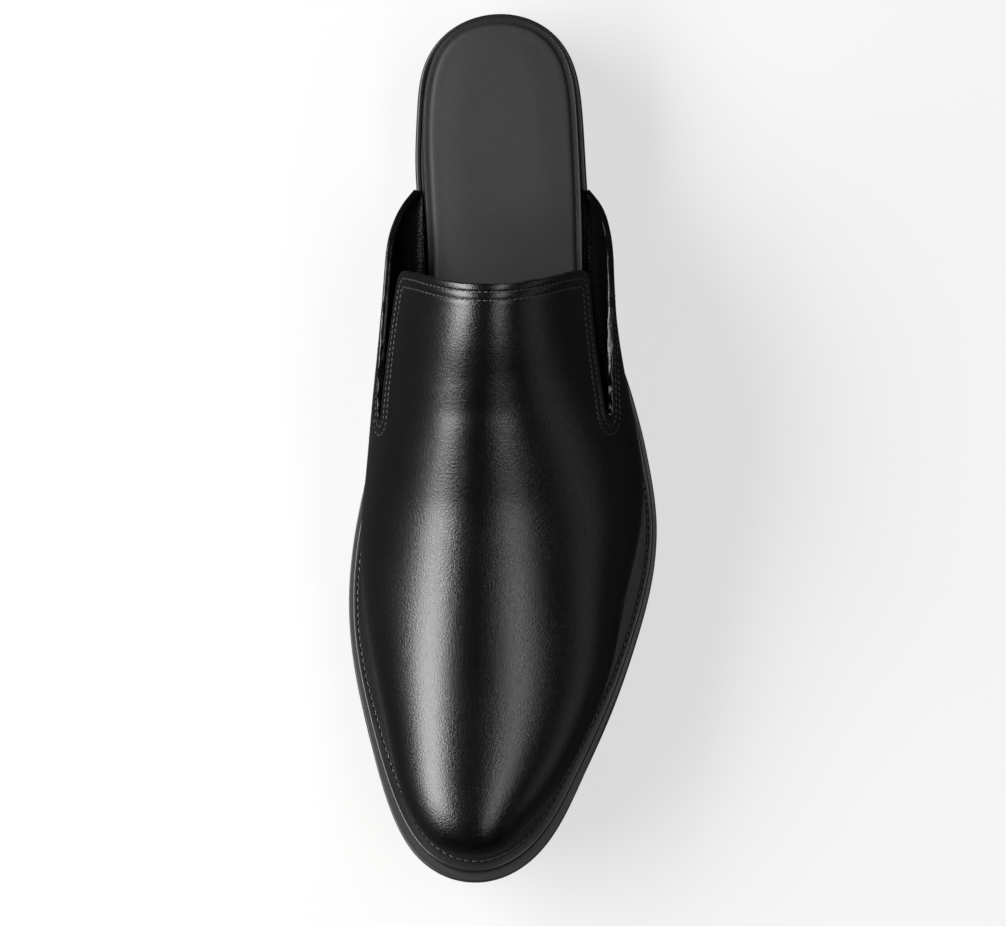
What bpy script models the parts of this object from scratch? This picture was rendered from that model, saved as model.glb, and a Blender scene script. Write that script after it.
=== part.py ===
"""Mule shoe for the left foot, standing empty on its sole.

Metres, +Z up, toe towards -Y, outer side of the foot towards +X. The origin is on the ground under
the middle of the shoe. Places on the shoe are given by `along`, the share of LENGTH from the back
of the heel to the tip of the toe.
"""

import math
from collections import namedtuple

import bmesh
import bpy
import numpy as np

# Main sizes of the shoe
LENGTH = 0.268
BALL_WIDTH = 0.095
HEEL_WIDTH = 0.052
INSTEP_RISE = 0.078
NOSE_RISE = 0.010
HEEL_HEIGHT = 0.0165
TOE_SPRING = 0.0230

# Thickness of the pieces
WALL = 0.0018
WELT_THICKNESS = 0.0025
OUTSOLE_THICKNESS = 0.0059
INSOLE_THICKNESS = 0.0046
SOCK_THICKNESS = 0.0022
SOCK_CROWN = 0.0006
SOCK_SOFT = 0.0030
SOCK_CROWN_IN = 0.0100
LIFT_THICKNESS = 0.0035
PLATE_THICKNESS = 0.0010
PLATE_HEIGHT = 0.0027

# Clearances between pieces that lie on each other
GAP = 0.0003
CURVED_GAP = 0.0006
SOCK_MARGIN = 0.0026

# Edges of the sole
EDGE_ROUND = 0.0005
BAND_GROOVE = 0.0004
SOLE_FLARE = 0.0012
SEAT_OVERHANG = 0.0002
WELT_WIDTH = 0.0095
PLATE_LIP = 0.0006
PLATE_INSET = 0.0002
TOE_FLARE = 0.0011

# The heel
HEEL_ROUND = 0.00025
BREAST_HOLLOW = 0.0015
BACK_RAKE = 0.0026
SIDE_RAKE = 0.0010

# The free edges of the upper
SLIT_ROUND = 0.0008
TAB_CORNER = 0.0040

# Places along the shoe
BREAST_ALONG = 0.203
QUARTER_ALONG = 0.205
SLIT_ALONG = 0.474
TAB_SIDE_ALONG = 0.311
TAB_RIDGE_ALONG = 0.334
FEATHER_NOSE_ALONG = 0.9571
UPPER_NOSE_ALONG = 0.9720
PLATE_ALONG = 0.888
WAIST_ALONG = 0.29
FLARE_ALONG = (0.22, 0.52)
TOE_FLARE_ALONG = (0.80, 1.0)

# Where the tips of the outlines lie across the shoe, as shares of BALL_WIDTH
SOLE_TIP = -0.082
UPPER_TIP = -0.079

MEDIAL = -1
LATERAL = 1

# Half widths on either side of the long axis. Rows behind WAIST_ALONG are shares of HEEL_WIDTH
# and the others are shares of BALL_WIDTH.
OutlineRow = namedtuple("OutlineRow", "along medial lateral")

SOLE_OUTLINE = [
    OutlineRow(0.029, 0.360, 0.345),
    OutlineRow(0.070, 0.472, 0.452),
    OutlineRow(0.120, 0.500, 0.488),
    OutlineRow(0.190, 0.505, 0.510),
    OutlineRow(0.260, 0.485, 0.540),
    OutlineRow(0.340, 0.292, 0.338),
    OutlineRow(0.430, 0.352, 0.424),
    OutlineRow(0.510, 0.422, 0.480),
    OutlineRow(0.580, 0.467, 0.508),
    OutlineRow(0.650, 0.492, 0.495),
    OutlineRow(0.720, 0.489, 0.445),
    OutlineRow(0.800, 0.450, 0.367),
    OutlineRow(0.880, 0.390, 0.266),
    OutlineRow(0.940, 0.324, 0.177),
    OutlineRow(0.970, 0.268, 0.110),
]

# The line where the upper meets the insole, and the rim of the seat behind it
FEATHER_OUTLINE = [
    OutlineRow(0.030, 0.342, 0.330),
    OutlineRow(0.075, 0.450, 0.440),
    OutlineRow(0.120, 0.476, 0.468),
    OutlineRow(0.180, 0.474, 0.484),
    OutlineRow(0.240, 0.456, 0.496),
    OutlineRow(0.300, 0.246, 0.276),
    OutlineRow(0.375, 0.268, 0.300),
    OutlineRow(0.450, 0.316, 0.350),
    OutlineRow(0.525, 0.366, 0.396),
    OutlineRow(0.590, 0.396, 0.406),
    OutlineRow(0.655, 0.402, 0.382),
    OutlineRow(0.730, 0.380, 0.336),
    OutlineRow(0.800, 0.340, 0.272),
    OutlineRow(0.875, 0.276, 0.150),
    OutlineRow(0.925, 0.204, 0.046),
]

# Height of the underside over the ground. Rows behind ARCH_ALONG are shares of HEEL_HEIGHT and
# the rows in front of it are shares of TOE_SPRING. The sole lies flat between the two zero rows.
ARCH_ALONG = 0.52
HeightRow = namedtuple("HeightRow", "along height")

UNDERSIDE = [
    HeightRow(0.000, 1.050),
    HeightRow(0.100, 1.010),
    HeightRow(0.203, 0.970),
    HeightRow(0.270, 0.745),
    HeightRow(0.330, 0.500),
    HeightRow(0.390, 0.245),
    HeightRow(0.440, 0.065),
    HeightRow(0.480, 0.000),
    HeightRow(0.565, 0.000),
    HeightRow(0.630, 0.062),
    HeightRow(0.700, 0.165),
    HeightRow(0.780, 0.330),
    HeightRow(0.860, 0.545),
    HeightRow(0.930, 0.755),
    HeightRow(1.000, 1.000),
]

# Thickness of outsole and insole as shares of their own full thickness
ThicknessRow = namedtuple("ThicknessRow", "along outsole insole")

THICKNESS = [
    ThicknessRow(0.00, 0.51, 1.00),
    ThicknessRow(0.22, 0.53, 1.00),
    ThicknessRow(0.34, 0.73, 0.85),
    ThicknessRow(0.50, 0.98, 0.65),
    ThicknessRow(0.65, 1.00, 0.62),
    ThicknessRow(0.85, 0.96, 0.62),
    ThicknessRow(1.00, 0.88, 0.62),
]

# Sections of the last. `medial` and `lateral` are the widest places and `swing` the ridge, across
# the shoe, as shares of BALL_WIDTH. `belly` is the height of the widest place and `ridge` that of
# the ridge over the welt, as shares of INSTEP_RISE. The two fullness columns say how steeply each
# flank rises from its widest place.
SectionRow = namedtuple(
    "SectionRow", "along medial lateral belly ridge swing medial_fullness lateral_fullness"
)

SECTIONS = [
    SectionRow(0.205, 0.306, 0.306, 0.209, 0.990, -0.033, 0.50, 0.35),
    SectionRow(0.222, 0.333, 0.335, 0.214, 0.996, -0.034, 0.50, 0.35),
    SectionRow(0.243, 0.355, 0.352, 0.220, 1.002, -0.035, 0.50, 0.35),
    SectionRow(0.300, 0.374, 0.364, 0.236, 1.008, -0.038, 0.50, 0.35),
    SectionRow(0.366, 0.390, 0.378, 0.250, 1.000, -0.042, 0.50, 0.33),
    SectionRow(0.455, 0.417, 0.423, 0.237, 0.905, -0.053, 0.48, 0.33),
    SectionRow(0.530, 0.436, 0.459, 0.205, 0.792, -0.056, 0.46, 0.38),
    SectionRow(0.597, 0.453, 0.452, 0.179, 0.690, -0.058, 0.45, 0.45),
    SectionRow(0.672, 0.445, 0.406, 0.167, 0.586, -0.061, 0.45, 0.50),
    SectionRow(0.746, 0.413, 0.364, 0.158, 0.497, -0.065, 0.48, 0.52),
    SectionRow(0.821, 0.370, 0.290, 0.151, 0.427, -0.072, 0.52, 0.55),
    SectionRow(0.896, 0.322, 0.176, 0.141, 0.356, -0.078, 0.55, 0.55),
    SectionRow(0.940, 0.260, 0.076, 0.133, 0.285, -0.079, 0.55, 0.55),
    SectionRow(0.958, 0.213, 0.030, 0.130, 0.235, -0.079, 0.55, 0.55),
]
RIDGE_FULLNESS = 0.50

# Height of the upper's free edges over the welt, as shares of INSTEP_RISE
EdgeRow = namedtuple("EdgeRow", "along medial lateral")

TOPLINE = [
    EdgeRow(0.205, 0.030, 0.030),
    EdgeRow(0.222, 0.084, 0.086),
    EdgeRow(0.243, 0.132, 0.138),
    EdgeRow(0.269, 0.190, 0.199),
    EdgeRow(0.299, 0.242, 0.263),
    EdgeRow(0.358, 0.335, 0.374),
    EdgeRow(0.418, 0.410, 0.464),
    EdgeRow(0.474, 0.456, 0.519),
]

TAB_SIDE = [
    EdgeRow(0.300, 0.620, 0.625),
    EdgeRow(0.358, 0.572, 0.610),
    EdgeRow(0.418, 0.524, 0.575),
    EdgeRow(0.474, 0.456, 0.519),
]

# Rounded edges of insole and sock, from the lower corner up. `inset` is a share of EDGE_ROUND for
# the insole and of SOCK_SOFT for the sock, and `depth` a share of the piece's own thickness.
RimRow = namedtuple("RimRow", "inset depth")

INSOLE_RIM = [
    RimRow(0.80, 0.00),
    RimRow(0.20, 0.15),
    RimRow(0.00, 0.50),
    RimRow(0.40, 0.82),
    RimRow(1.60, 1.00),
]

SOCK_RIM = [
    RimRow(0.13, 0.00),
    RimRow(0.00, 0.30),
    RimRow(0.10, 0.65),
    RimRow(0.40, 0.92),
    RimRow(1.00, 1.00),
]

# How finely the surfaces are divided
SECTION_STEPS = 60
FRONT_STEPS = 24
NOSE_STEPS = 4
QUARTER_STEPS = 14
TAB_STEPS = 8
QUARTER_ROWS = 5
TAB_ROWS = 8
SOLE_STEPS = 44
HEEL_STEPS = 15
BREAST_STEPS = 4
SLOPE_STEP = 0.001
NORMAL_STEP = 1e-4
SHARE_STEP = 0.002
MERGE_DIGITS = 7
ROW_SPREAD = 1.4
STATION_SPREAD = 1.5
STATION_CLEAR = 0.01
SHARP_ANGLE = math.radians(35.0)

# Colour, roughness and metallic value of each finish
Finish = namedtuple("Finish", "colour roughness metallic")

FINISHES = {
    "upper_leather": Finish((0.006, 0.006, 0.006), 0.28, 0.0),
    "sock_leather": Finish((0.022, 0.022, 0.022), 0.62, 0.0),
    "wrapped_leather": Finish((0.008, 0.008, 0.008), 0.40, 0.0),
    "welt_leather": Finish((0.009, 0.009, 0.009), 0.48, 0.0),
    "sole_edge": Finish((0.012, 0.012, 0.012), 0.45, 0.0),
    "stacked_heel": Finish((0.016, 0.016, 0.016), 0.42, 0.0),
    "heel_rubber": Finish((0.014, 0.014, 0.014), 0.60, 0.0),
    "brushed_gold": Finish((0.560, 0.360, 0.130), 0.34, 1.0),
}


def natural_spline(knots, values, places):
    """Smooth curve through the knots, with no bend at its two ends."""
    knots = np.asarray(knots, dtype=float)
    values = np.asarray(values, dtype=float)
    steps = np.diff(knots)
    slopes = np.diff(values) / steps
    count = len(knots)
    system = np.eye(count)
    right = np.zeros(count)
    for k in range(1, count - 1):
        system[k, k - 1:k + 2] = steps[k - 1], 2.0 * (steps[k - 1] + steps[k]), steps[k]
        right[k] = 6.0 * (slopes[k] - slopes[k - 1])
    bends = np.linalg.solve(system, right)
    places = np.asarray(places, dtype=float)
    k = np.clip(np.searchsorted(knots, places) - 1, 0, count - 2)
    width = steps[k]
    before = (knots[k + 1] - places) / width
    after = 1.0 - before
    curve = (before**3 - before) * bends[k] + (after**3 - after) * bends[k + 1]
    return before * values[k] + after * values[k + 1] + curve * width**2 / 6.0


def steady_spline(knots, values, places):
    """Curve through the knots that never swings past them, so level stretches stay level."""
    knots = np.asarray(knots, dtype=float)
    values = np.asarray(values, dtype=float)
    steps = np.diff(knots)
    slopes = np.diff(values) / steps
    tangents = np.zeros(len(knots))
    tangents[0] = slopes[0]
    tangents[-1] = slopes[-1]
    for k in range(1, len(knots) - 1):
        if slopes[k - 1] * slopes[k] > 0.0:
            tangents[k] = 2.0 * slopes[k - 1] * slopes[k] / (slopes[k - 1] + slopes[k])
    places = np.asarray(places, dtype=float)
    k = np.clip(np.searchsorted(knots, places) - 1, 0, len(knots) - 2)
    u = (places - knots[k]) / steps[k]
    start = (1.0 + 2.0 * u) * (1.0 - u) ** 2 * values[k]
    end = u**2 * (3.0 - 2.0 * u) * values[k + 1]
    lean = steps[k] * u * (1.0 - u) * ((1.0 - u) * tangents[k] - u * tangents[k + 1])
    return start + end + lean


def column(rows, name):
    """One column of a table as a list."""
    return [getattr(row, name) for row in rows]


def half_turn(along, tail, nose):
    """Place between tail and nose as a share of a half turn, which makes round ends even."""
    share = np.clip((np.asarray(along) - tail) / (nose - tail), 0.0, 1.0)
    return np.arccos(1.0 - 2.0 * share) / math.pi


def smooth_step(share):
    """Soft change from 0 to 1."""
    share = np.clip(share, 0.0, 1.0)
    return share * share * (3.0 - 2.0 * share)


class Outline:
    """Closed outline of a left foot seen from above, round at heel and toe."""

    def __init__(self, rows, tail, nose, tip):
        self.tail = tail
        self.nose = nose
        turns = [0.0] + [float(half_turn(row.along, tail, nose)) for row in rows] + [1.0]
        self.turns = turns
        self.across = {}
        for side, name in ((MEDIAL, "medial"), (LATERAL, "lateral")):
            widths = [0.0]
            for row in rows:
                size = HEEL_WIDTH if row.along < WAIST_ALONG else BALL_WIDTH
                widths.append(side * getattr(row, name) * size)
            widths.append(tip * BALL_WIDTH)
            self.across[side] = widths

    def along_at(self, turn):
        """Distance from the heel at a share of the half turn."""
        share = (1.0 - math.cos(math.pi * turn)) / 2.0
        return (self.tail + (self.nose - self.tail) * share) * LENGTH

    def point(self, turn, side, inset=0.0):
        """Distance from the heel and place across, moved in from the edge by `inset`."""
        low = max(turn - SLOPE_STEP, 0.0)
        high = min(turn + SLOPE_STEP, 1.0)
        across = natural_spline(self.turns, self.across[side], [low, turn, high])
        run = self.along_at(high) - self.along_at(low)
        swing = across[2] - across[0]
        if turn in (0.0, 1.0):
            run = 0.0
        size = math.hypot(run, swing)
        distance = self.along_at(turn) + side * swing / size * inset
        return distance, across[1] - side * run / size * inset

    def across_at(self, distance, side):
        """Place of the outline across the shoe at a distance from the heel."""
        turn = half_turn(distance / LENGTH, self.tail, self.nose)
        return float(natural_spline(self.turns, self.across[side], turn))


SOLE = Outline(SOLE_OUTLINE, 0.0, 1.0, SOLE_TIP)
FEATHER = Outline(FEATHER_OUTLINE, 0.003, FEATHER_NOSE_ALONG, UPPER_TIP)


def underside(distance):
    """Height of the sole's underside over the ground."""
    along = column(UNDERSIDE, "along")
    heights = []
    for row in UNDERSIDE:
        size = HEEL_HEIGHT if row.along < ARCH_ALONG else TOE_SPRING
        heights.append(row.height * size)
    return float(steady_spline(along, heights, np.clip(distance / LENGTH, 0.0, 1.0)))


def slope(distance):
    """Angle of the sole's underside, rising towards the toe."""
    distance = min(max(distance, 0.0), LENGTH)
    rise = underside(distance + SLOPE_STEP) - underside(distance - SLOPE_STEP)
    low = max(distance - SLOPE_STEP, 0.0)
    high = min(distance + SLOPE_STEP, LENGTH)
    return math.atan2(rise, high - low)


def thickness(distance, piece):
    """Share of the full thickness of outsole or insole at a distance from the heel."""
    along = column(THICKNESS, "along")
    return float(steady_spline(along, column(THICKNESS, piece), np.clip(distance / LENGTH, 0, 1)))


def outsole_top(distance):
    """Depth of the outsole's top over its underside."""
    return OUTSOLE_THICKNESS * thickness(distance, "outsole")


def welt_top(distance):
    """Depth of the welt's top over the outsole's underside."""
    return outsole_top(distance) + GAP + WELT_THICKNESS


def insole_top(distance):
    """Depth of the insole's top over the outsole's underside."""
    return insole_bottom(distance) + INSOLE_THICKNESS * thickness(distance, "insole")


def insole_bottom(distance):
    """Depth of the insole's underside, and of the upper's, just over the welt."""
    return welt_top(distance) + GAP


def stacked(base, across, depth):
    """Point at a depth over a place of the underside, measured square to it."""
    angle = slope(base)
    back = base - math.sin(angle) * depth
    past = max(base - LENGTH, 0.0)
    return (across, -back, underside(base) + math.tan(angle) * past + math.cos(angle) * depth)


def base_under(distance, level):
    """Place of the underside that lies square below a point at a level over it."""
    base = distance
    for _ in range(3):
        base = distance + math.sin(slope(base)) * level(base)
    return base


def ground_line(distance):
    """Height that the upper stands on, just over the welt, at a distance from the heel."""
    base = base_under(distance, insole_bottom)
    return underside(base) + math.cos(slope(base)) * insole_bottom(base)


def section_value(name, distance, nose_value):
    """Column of the sections table, smooth along the shoe and ending at the nose's value."""
    turns = [float(half_turn(row.along, 0.0, UPPER_NOSE_ALONG)) for row in SECTIONS] + [1.0]
    values = column(SECTIONS, name) + [nose_value]
    turn = half_turn(distance / LENGTH, 0.0, UPPER_NOSE_ALONG)
    return float(natural_spline(turns, values, turn))


def last_section(distance, side):
    """Across and height of the last's skin from the feather edge up to the ridge."""
    feather_nose = FEATHER_NOSE_ALONG * LENGTH
    upper_nose = UPPER_NOSE_ALONG * LENGTH
    distance = min(distance, upper_nose)
    ground = ground_line(distance)
    nose_share = NOSE_RISE / INSTEP_RISE
    width_name = "medial" if side == MEDIAL else "lateral"
    if distance < feather_nose:
        foot = FEATHER.across_at(distance, side)
        foot_height = ground
    else:
        foot = UPPER_TIP * BALL_WIDTH
        reach = (distance - feather_nose) / (upper_nose - feather_nose)
        foot_height = ground + NOSE_RISE * (1.0 - math.sqrt(max(1.0 - reach**2, 0.0)))
    belly = side * section_value(width_name, distance, side * UPPER_TIP) * BALL_WIDTH
    belly_height = ground + section_value("belly", distance, nose_share) * INSTEP_RISE
    ridge = section_value("swing", distance, UPPER_TIP) * BALL_WIDTH
    ridge_height = ground + section_value("ridge", distance, nose_share) * INSTEP_RISE
    fullness_row = SECTIONS[-1]
    fullness_name = width_name + "_fullness"
    fullness = section_value(fullness_name, distance, getattr(fullness_row, fullness_name))
    turn = np.linspace(0.0, math.pi / 2.0, SECTION_STEPS)
    low_across = foot + (belly - foot) * np.sin(turn)
    low_height = foot_height + (belly_height - foot_height) * (1.0 - np.cos(turn))
    u = np.linspace(0.0, 1.0, SECTION_STEPS)[1:]
    rest = (1.0 - u) ** 3 + 3.0 * (1.0 - u) ** 2 * u + 3.0 * (1.0 - u) * u**2 * RIDGE_FULLNESS
    climb = 3.0 * (1.0 - u) ** 2 * u * fullness + 3.0 * (1.0 - u) * u**2 + u**3
    high_across = ridge + (belly - ridge) * rest
    high_height = belly_height + (ridge_height - belly_height) * climb
    across = np.concatenate([low_across, high_across])
    height = np.concatenate([low_height, high_height])
    return across, height


def skin_point(distance, side, share):
    """Point of the last's skin at a share of the way from the feather edge to the ridge."""
    across, height = last_section(distance, side)
    lengths = np.concatenate([[0.0], np.cumsum(np.hypot(np.diff(across), np.diff(height)))])
    place = share * lengths[-1]
    return np.array([
        np.interp(place, lengths, across),
        -min(distance, UPPER_NOSE_ALONG * LENGTH),
        np.interp(place, lengths, height),
    ])


def skin_share(distance, side, rise):
    """Share of the way up the section at which the skin is `rise` over the welt."""
    across, height = last_section(distance, side)
    lengths = np.concatenate([[0.0], np.cumsum(np.hypot(np.diff(across), np.diff(height)))])
    return float(np.interp(ground_line(distance) + rise, height, lengths)) / lengths[-1]


def inner_point(distance, side, share):
    """Point of the upper's inner face, one wall inside the skin."""
    nose = UPPER_NOSE_ALONG * LENGTH
    if distance >= nose:
        tip = skin_point(nose, side, 0.0)
        return tip + np.array([0.0, WALL, 0.0])
    behind = distance - NORMAL_STEP
    low = skin_point(distance, side, max(share - SHARE_STEP, 0.0))
    high = skin_point(distance, side, min(share + SHARE_STEP, 1.0))
    if share > 1.0 - NORMAL_STEP:
        high = skin_point(distance, -side, 1.0 - SHARE_STEP)
    if share < NORMAL_STEP and behind > FEATHER_NOSE_ALONG * LENGTH - 2.0 * NORMAL_STEP:
        low = skin_point(distance, -side, SHARE_STEP)
        behind = distance
    back = skin_point(behind, side, share)
    front = skin_point(min(distance + NORMAL_STEP, nose), side, share)
    inward = np.cross(high - low, back - front) * side
    inward /= np.linalg.norm(inward)
    return skin_point(distance, side, share) + inward * WALL


def edge_share(rows, distance, side, lift):
    """Share of the section where a free edge runs, drawn away from the slit's end."""
    name = "medial" if side == MEDIAL else "lateral"
    rise = float(natural_spline(column(rows, "along"), column(rows, name), distance / LENGTH))
    from_end = max(SLIT_ALONG * LENGTH - distance, 0.0)
    rounding = math.sqrt(2.0 * SLIT_ROUND * from_end) * math.exp(-from_end / (6.0 * SLIT_ROUND))
    return skin_share(distance, side, rise * INSTEP_RISE + lift * rounding)


def tab_end(share, side):
    """Distance from the heel of the tab's end, from its side (0) to the ridge (1)."""
    corner = TAB_SIDE_ALONG * LENGTH
    ridge = TAB_RIDGE_ALONG * LENGTH
    across, height = last_section(corner, side)
    run = np.sum(np.hypot(np.diff(across), np.diff(height)))
    run *= 1.0 - edge_share(TAB_SIDE, corner, side, 1.0)
    reach = min(share * run / TAB_CORNER, 1.0)
    rounding = TAB_CORNER * (1.0 - math.sqrt(1.0 - (1.0 - reach) ** 2))
    return corner + (ridge - corner) * smooth_step(share) + rounding


class Skin:
    """Gathers faces by their corners, so that faces that touch share them."""

    def __init__(self):
        self.numbers = {}
        self.points = []
        self.faces = []

    def number(self, point):
        """Number of a corner, the same for corners in the same place."""
        key = tuple(round(float(value), MERGE_DIGITS) for value in point)
        if key not in self.numbers:
            self.numbers[key] = len(self.points)
            self.points.append(key)
        return self.numbers[key]

    def face(self, corners):
        """Add a face, leaving out corners that fall together."""
        numbers = [self.number(corner) for corner in corners]
        kept = [n for k, n in enumerate(numbers) if n != numbers[k - 1]]
        if len(set(kept)) == len(kept) and len(kept) > 2:
            self.faces.append(kept)

    def strip(self, first, second):
        """Faces between two lines with the same number of points."""
        for k in range(len(first) - 1):
            self.face([first[k], first[k + 1], second[k + 1], second[k]])

    def grid(self, lines):
        """Faces between each line and the next."""
        for first, second in zip(lines, lines[1:]):
            self.strip(first, second)

    def solid(self, name, finish):
        """Make the object, closed and with its faces pointing out."""
        mesh = bpy.data.meshes.new(name)
        mesh.from_pydata(self.points, [], self.faces)
        work = bmesh.new()
        work.from_mesh(mesh)
        bmesh.ops.recalc_face_normals(work, faces=work.faces)
        work.to_mesh(mesh)
        work.free()
        mesh.shade_smooth()
        mesh.set_sharp_from_angle(angle=SHARP_ANGLE)
        piece = bpy.data.objects.new(name, mesh)
        bpy.context.scene.collection.objects.link(piece)
        mesh.materials.append(material(finish))
        return piece


def material(name):
    """Principled material of a finish, made once."""
    found = bpy.data.materials.get(name)
    if found:
        return found
    finish = FINISHES[name]
    made = bpy.data.materials.new(name)
    made.use_nodes = True
    shader = made.node_tree.nodes["Principled BSDF"]
    shader.inputs["Base Color"].default_value = (*finish.colour, 1.0)
    shader.inputs["Roughness"].default_value = finish.roughness
    shader.inputs["Metallic"].default_value = finish.metallic
    made.diffuse_color = (*finish.colour, 1.0)
    return made


def front_rows(distance, side):
    """Shares of the section for each row of the closed part of the upper."""
    start = SLIT_ALONG * LENGTH
    at_slit = edge_share(TOPLINE, start, side, 0.0)
    at_nose = QUARTER_ROWS / (QUARTER_ROWS + TAB_ROWS)
    reach = smooth_step((distance - start) / (UPPER_NOSE_ALONG * LENGTH - start))
    middle = at_slit + (at_nose - at_slit) * reach
    low = [middle * k / QUARTER_ROWS for k in range(QUARTER_ROWS + 1)]
    high = [middle + (1.0 - middle) * row_share(k) for k in range(1, TAB_ROWS + 1)]
    return low + high


def row_share(row):
    """Place of a row between the tab's side and the ridge, closer together at the side."""
    return (row / TAB_ROWS) ** ROW_SPREAD


def near_end(share):
    """Place of a station, closer together towards the slit's end."""
    return 1.0 - (1.0 - share) ** STATION_SPREAD


def front_distances():
    """Distances of the sections from the slit's end to the nose, closer at the round toe."""
    slit = SLIT_ALONG * LENGTH
    feather = FEATHER_NOSE_ALONG * LENGTH
    nose = UPPER_NOSE_ALONG * LENGTH
    body = [slit + (feather - slit) * math.sin(math.pi / 2.0 * k / FRONT_STEPS)
            for k in range(FRONT_STEPS + 1)]
    tip = [feather + (nose - feather) * math.sin(math.pi / 2.0 * k / NOSE_STEPS)
           for k in range(1, NOSE_STEPS + 1)]
    return body + tip


def upper_lines(side, place):
    """Lines of points over one half of the upper: quarter, tab and closed front."""
    slit = SLIT_ALONG * LENGTH
    start = QUARTER_ALONG * LENGTH
    quarter = []
    for k in range(QUARTER_STEPS + 1):
        distance = start + (slit - start) * near_end(k / QUARTER_STEPS)
        top = edge_share(TOPLINE, distance, side, -1.0)
        quarter.append([place(distance, side, top * j / QUARTER_ROWS)
                        for j in range(QUARTER_ROWS + 1)])
    tab = []
    for k in range(TAB_STEPS + 1):
        line = []
        for j in range(TAB_ROWS + 1):
            end = tab_end(row_share(j), side)
            distance = end + (slit - end) * near_end(k / TAB_STEPS)
            low = edge_share(TAB_SIDE, distance, side, 1.0)
            line.append(place(distance, side, low + (1.0 - low) * row_share(j)))
        tab.append(line)
    front = [[place(distance, side, share) for share in front_rows(distance, side)]
             for distance in front_distances()]
    return quarter, tab, front


def build_upper():
    """Vamp with its tab and two quarters: one wall, open behind, at the slits and underneath."""
    skin = Skin()
    for side in (MEDIAL, LATERAL):
        outer = upper_lines(side, skin_point)
        inner = upper_lines(side, inner_point)
        for lines in (*outer, *inner):
            skin.grid(lines)
        outer_quarter, outer_tab, outer_front = outer
        inner_quarter, inner_tab, inner_front = inner
        closed = FRONT_STEPS + 1
        skin.strip([line[0] for line in outer_quarter], [line[0] for line in inner_quarter])
        skin.strip([line[0] for line in outer_front[:closed]],
                   [line[0] for line in inner_front[:closed]])
        skin.strip([line[-1] for line in outer_quarter], [line[-1] for line in inner_quarter])
        skin.strip(outer_quarter[0], inner_quarter[0])
        skin.strip([line[0] for line in outer_tab], [line[0] for line in inner_tab])
        skin.strip(outer_tab[0], inner_tab[0])
    return skin.solid("upper", "upper_leather")


def turns_between(first, last, steps):
    """Evenly spaced shares of a half turn."""
    return [first + (last - first) * k / steps for k in range(steps + 1)]


def rails(outline, turns, side, profile, level):
    """Points of each profile corner along one side, a line for each station."""
    lines = []
    for turn in turns:
        line = []
        for inset, depth in profile(turn):
            distance, across = outline.point(turn, side, inset)
            base = base_under(distance, level)
            line.append(stacked(base, across, depth(base)))
        lines.append(line)
    return lines


def build_layer(name, finish, outline, turns, profile, ring=False):
    """Flat piece that follows the sole: a plate between two caps, or a closed ring."""
    skin = Skin()
    level = insole_bottom if outline is FEATHER else fixed(0.0)
    medial = rails(outline, turns, MEDIAL, profile, level)
    lateral = rails(outline, turns, LATERAL, profile, level)
    for lines in (medial, lateral):
        if ring:
            lines = [line + line[:1] for line in lines]
        skin.grid(lines)
    if not ring:
        for corner in (0, -1):
            skin.strip([line[corner] for line in medial], [line[corner] for line in lateral])
    return skin.solid(name, finish)


def flare(distance):
    """How far the welt stands back from the outsole's edge."""
    start, end = (share * LENGTH for share in FLARE_ALONG)
    reach = smooth_step((distance - start) / (end - start))
    return SEAT_OVERHANG + (SOLE_FLARE - SEAT_OVERHANG) * reach


def toe_lean(turn, depth):
    """Inset of the lower band's face at a depth, below zero where it leans out at the toe."""
    start, end = (share * LENGTH for share in TOE_FLARE_ALONG)
    reach = smooth_step((SOLE.along_at(turn) - start) / (end - start))
    return -TOE_FLARE * reach * depth / (PLATE_LIP + PLATE_HEIGHT + 2.0 * GAP)


def fixed(depth):
    """Depth that is the same all along the shoe."""
    return lambda distance: depth


def under_top(top, drop):
    """Depth that stays a drop below the top of a piece."""
    return lambda distance: top(distance) - drop


def sole_turn(along):
    """Share of the half turn at a place along the sole."""
    return float(half_turn(along, 0.0, 1.0))


def sole_turns():
    """Stations of the sole, with a pair at each end of the toe plate's rebate."""
    end = sole_turn(PLATE_ALONG)
    pause = sole_turn(PLATE_ALONG - GAP / LENGTH)
    turns = turns_between(0.0, 1.0, SOLE_STEPS)
    return sorted([turn for turn in turns if abs(turn - end) > STATION_CLEAR] + [pause, end])


def outsole_profile(turn):
    """Edge of the outsole from its underside, over both bands, to the raised middle."""
    rebate = 0.0
    if turn >= sole_turn(PLATE_ALONG):
        rebate = PLATE_INSET + PLATE_THICKNESS + GAP
    middle = SOLE_FLARE + WELT_WIDTH + GAP
    plate_top = PLATE_LIP + PLATE_HEIGHT + 2.0 * GAP
    lip = toe_lean(turn, PLATE_LIP)
    band = toe_lean(turn, plate_top)
    return [
        (EDGE_ROUND, fixed(0.0)),
        (toe_lean(turn, EDGE_ROUND), fixed(EDGE_ROUND)),
        (lip, fixed(PLATE_LIP)),
        (lip + rebate, fixed(PLATE_LIP)),
        (band + rebate, lambda distance: band_depth(distance, plate_top)),
        (band, lambda distance: band_depth(distance, plate_top)),
        (band + BAND_GROOVE, lambda distance: band_depth(distance, plate_top + BAND_GROOVE)),
        (band + BAND_GROOVE / 2.0, under_top(outsole_top, EDGE_ROUND)),
        (band + EDGE_ROUND + BAND_GROOVE / 2.0, outsole_top),
        (middle, outsole_top),
        (middle, welt_top),
    ]


def band_depth(distance, full_depth):
    """Depth of the line between the bands, which runs lower where the sole is thin."""
    return full_depth * thickness(distance, "outsole")


def build_outsole():
    """Outsole of two bands with a rebate for the toe plate."""
    return build_layer("outsole", "sole_edge", SOLE, sole_turns(), outsole_profile)


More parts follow.
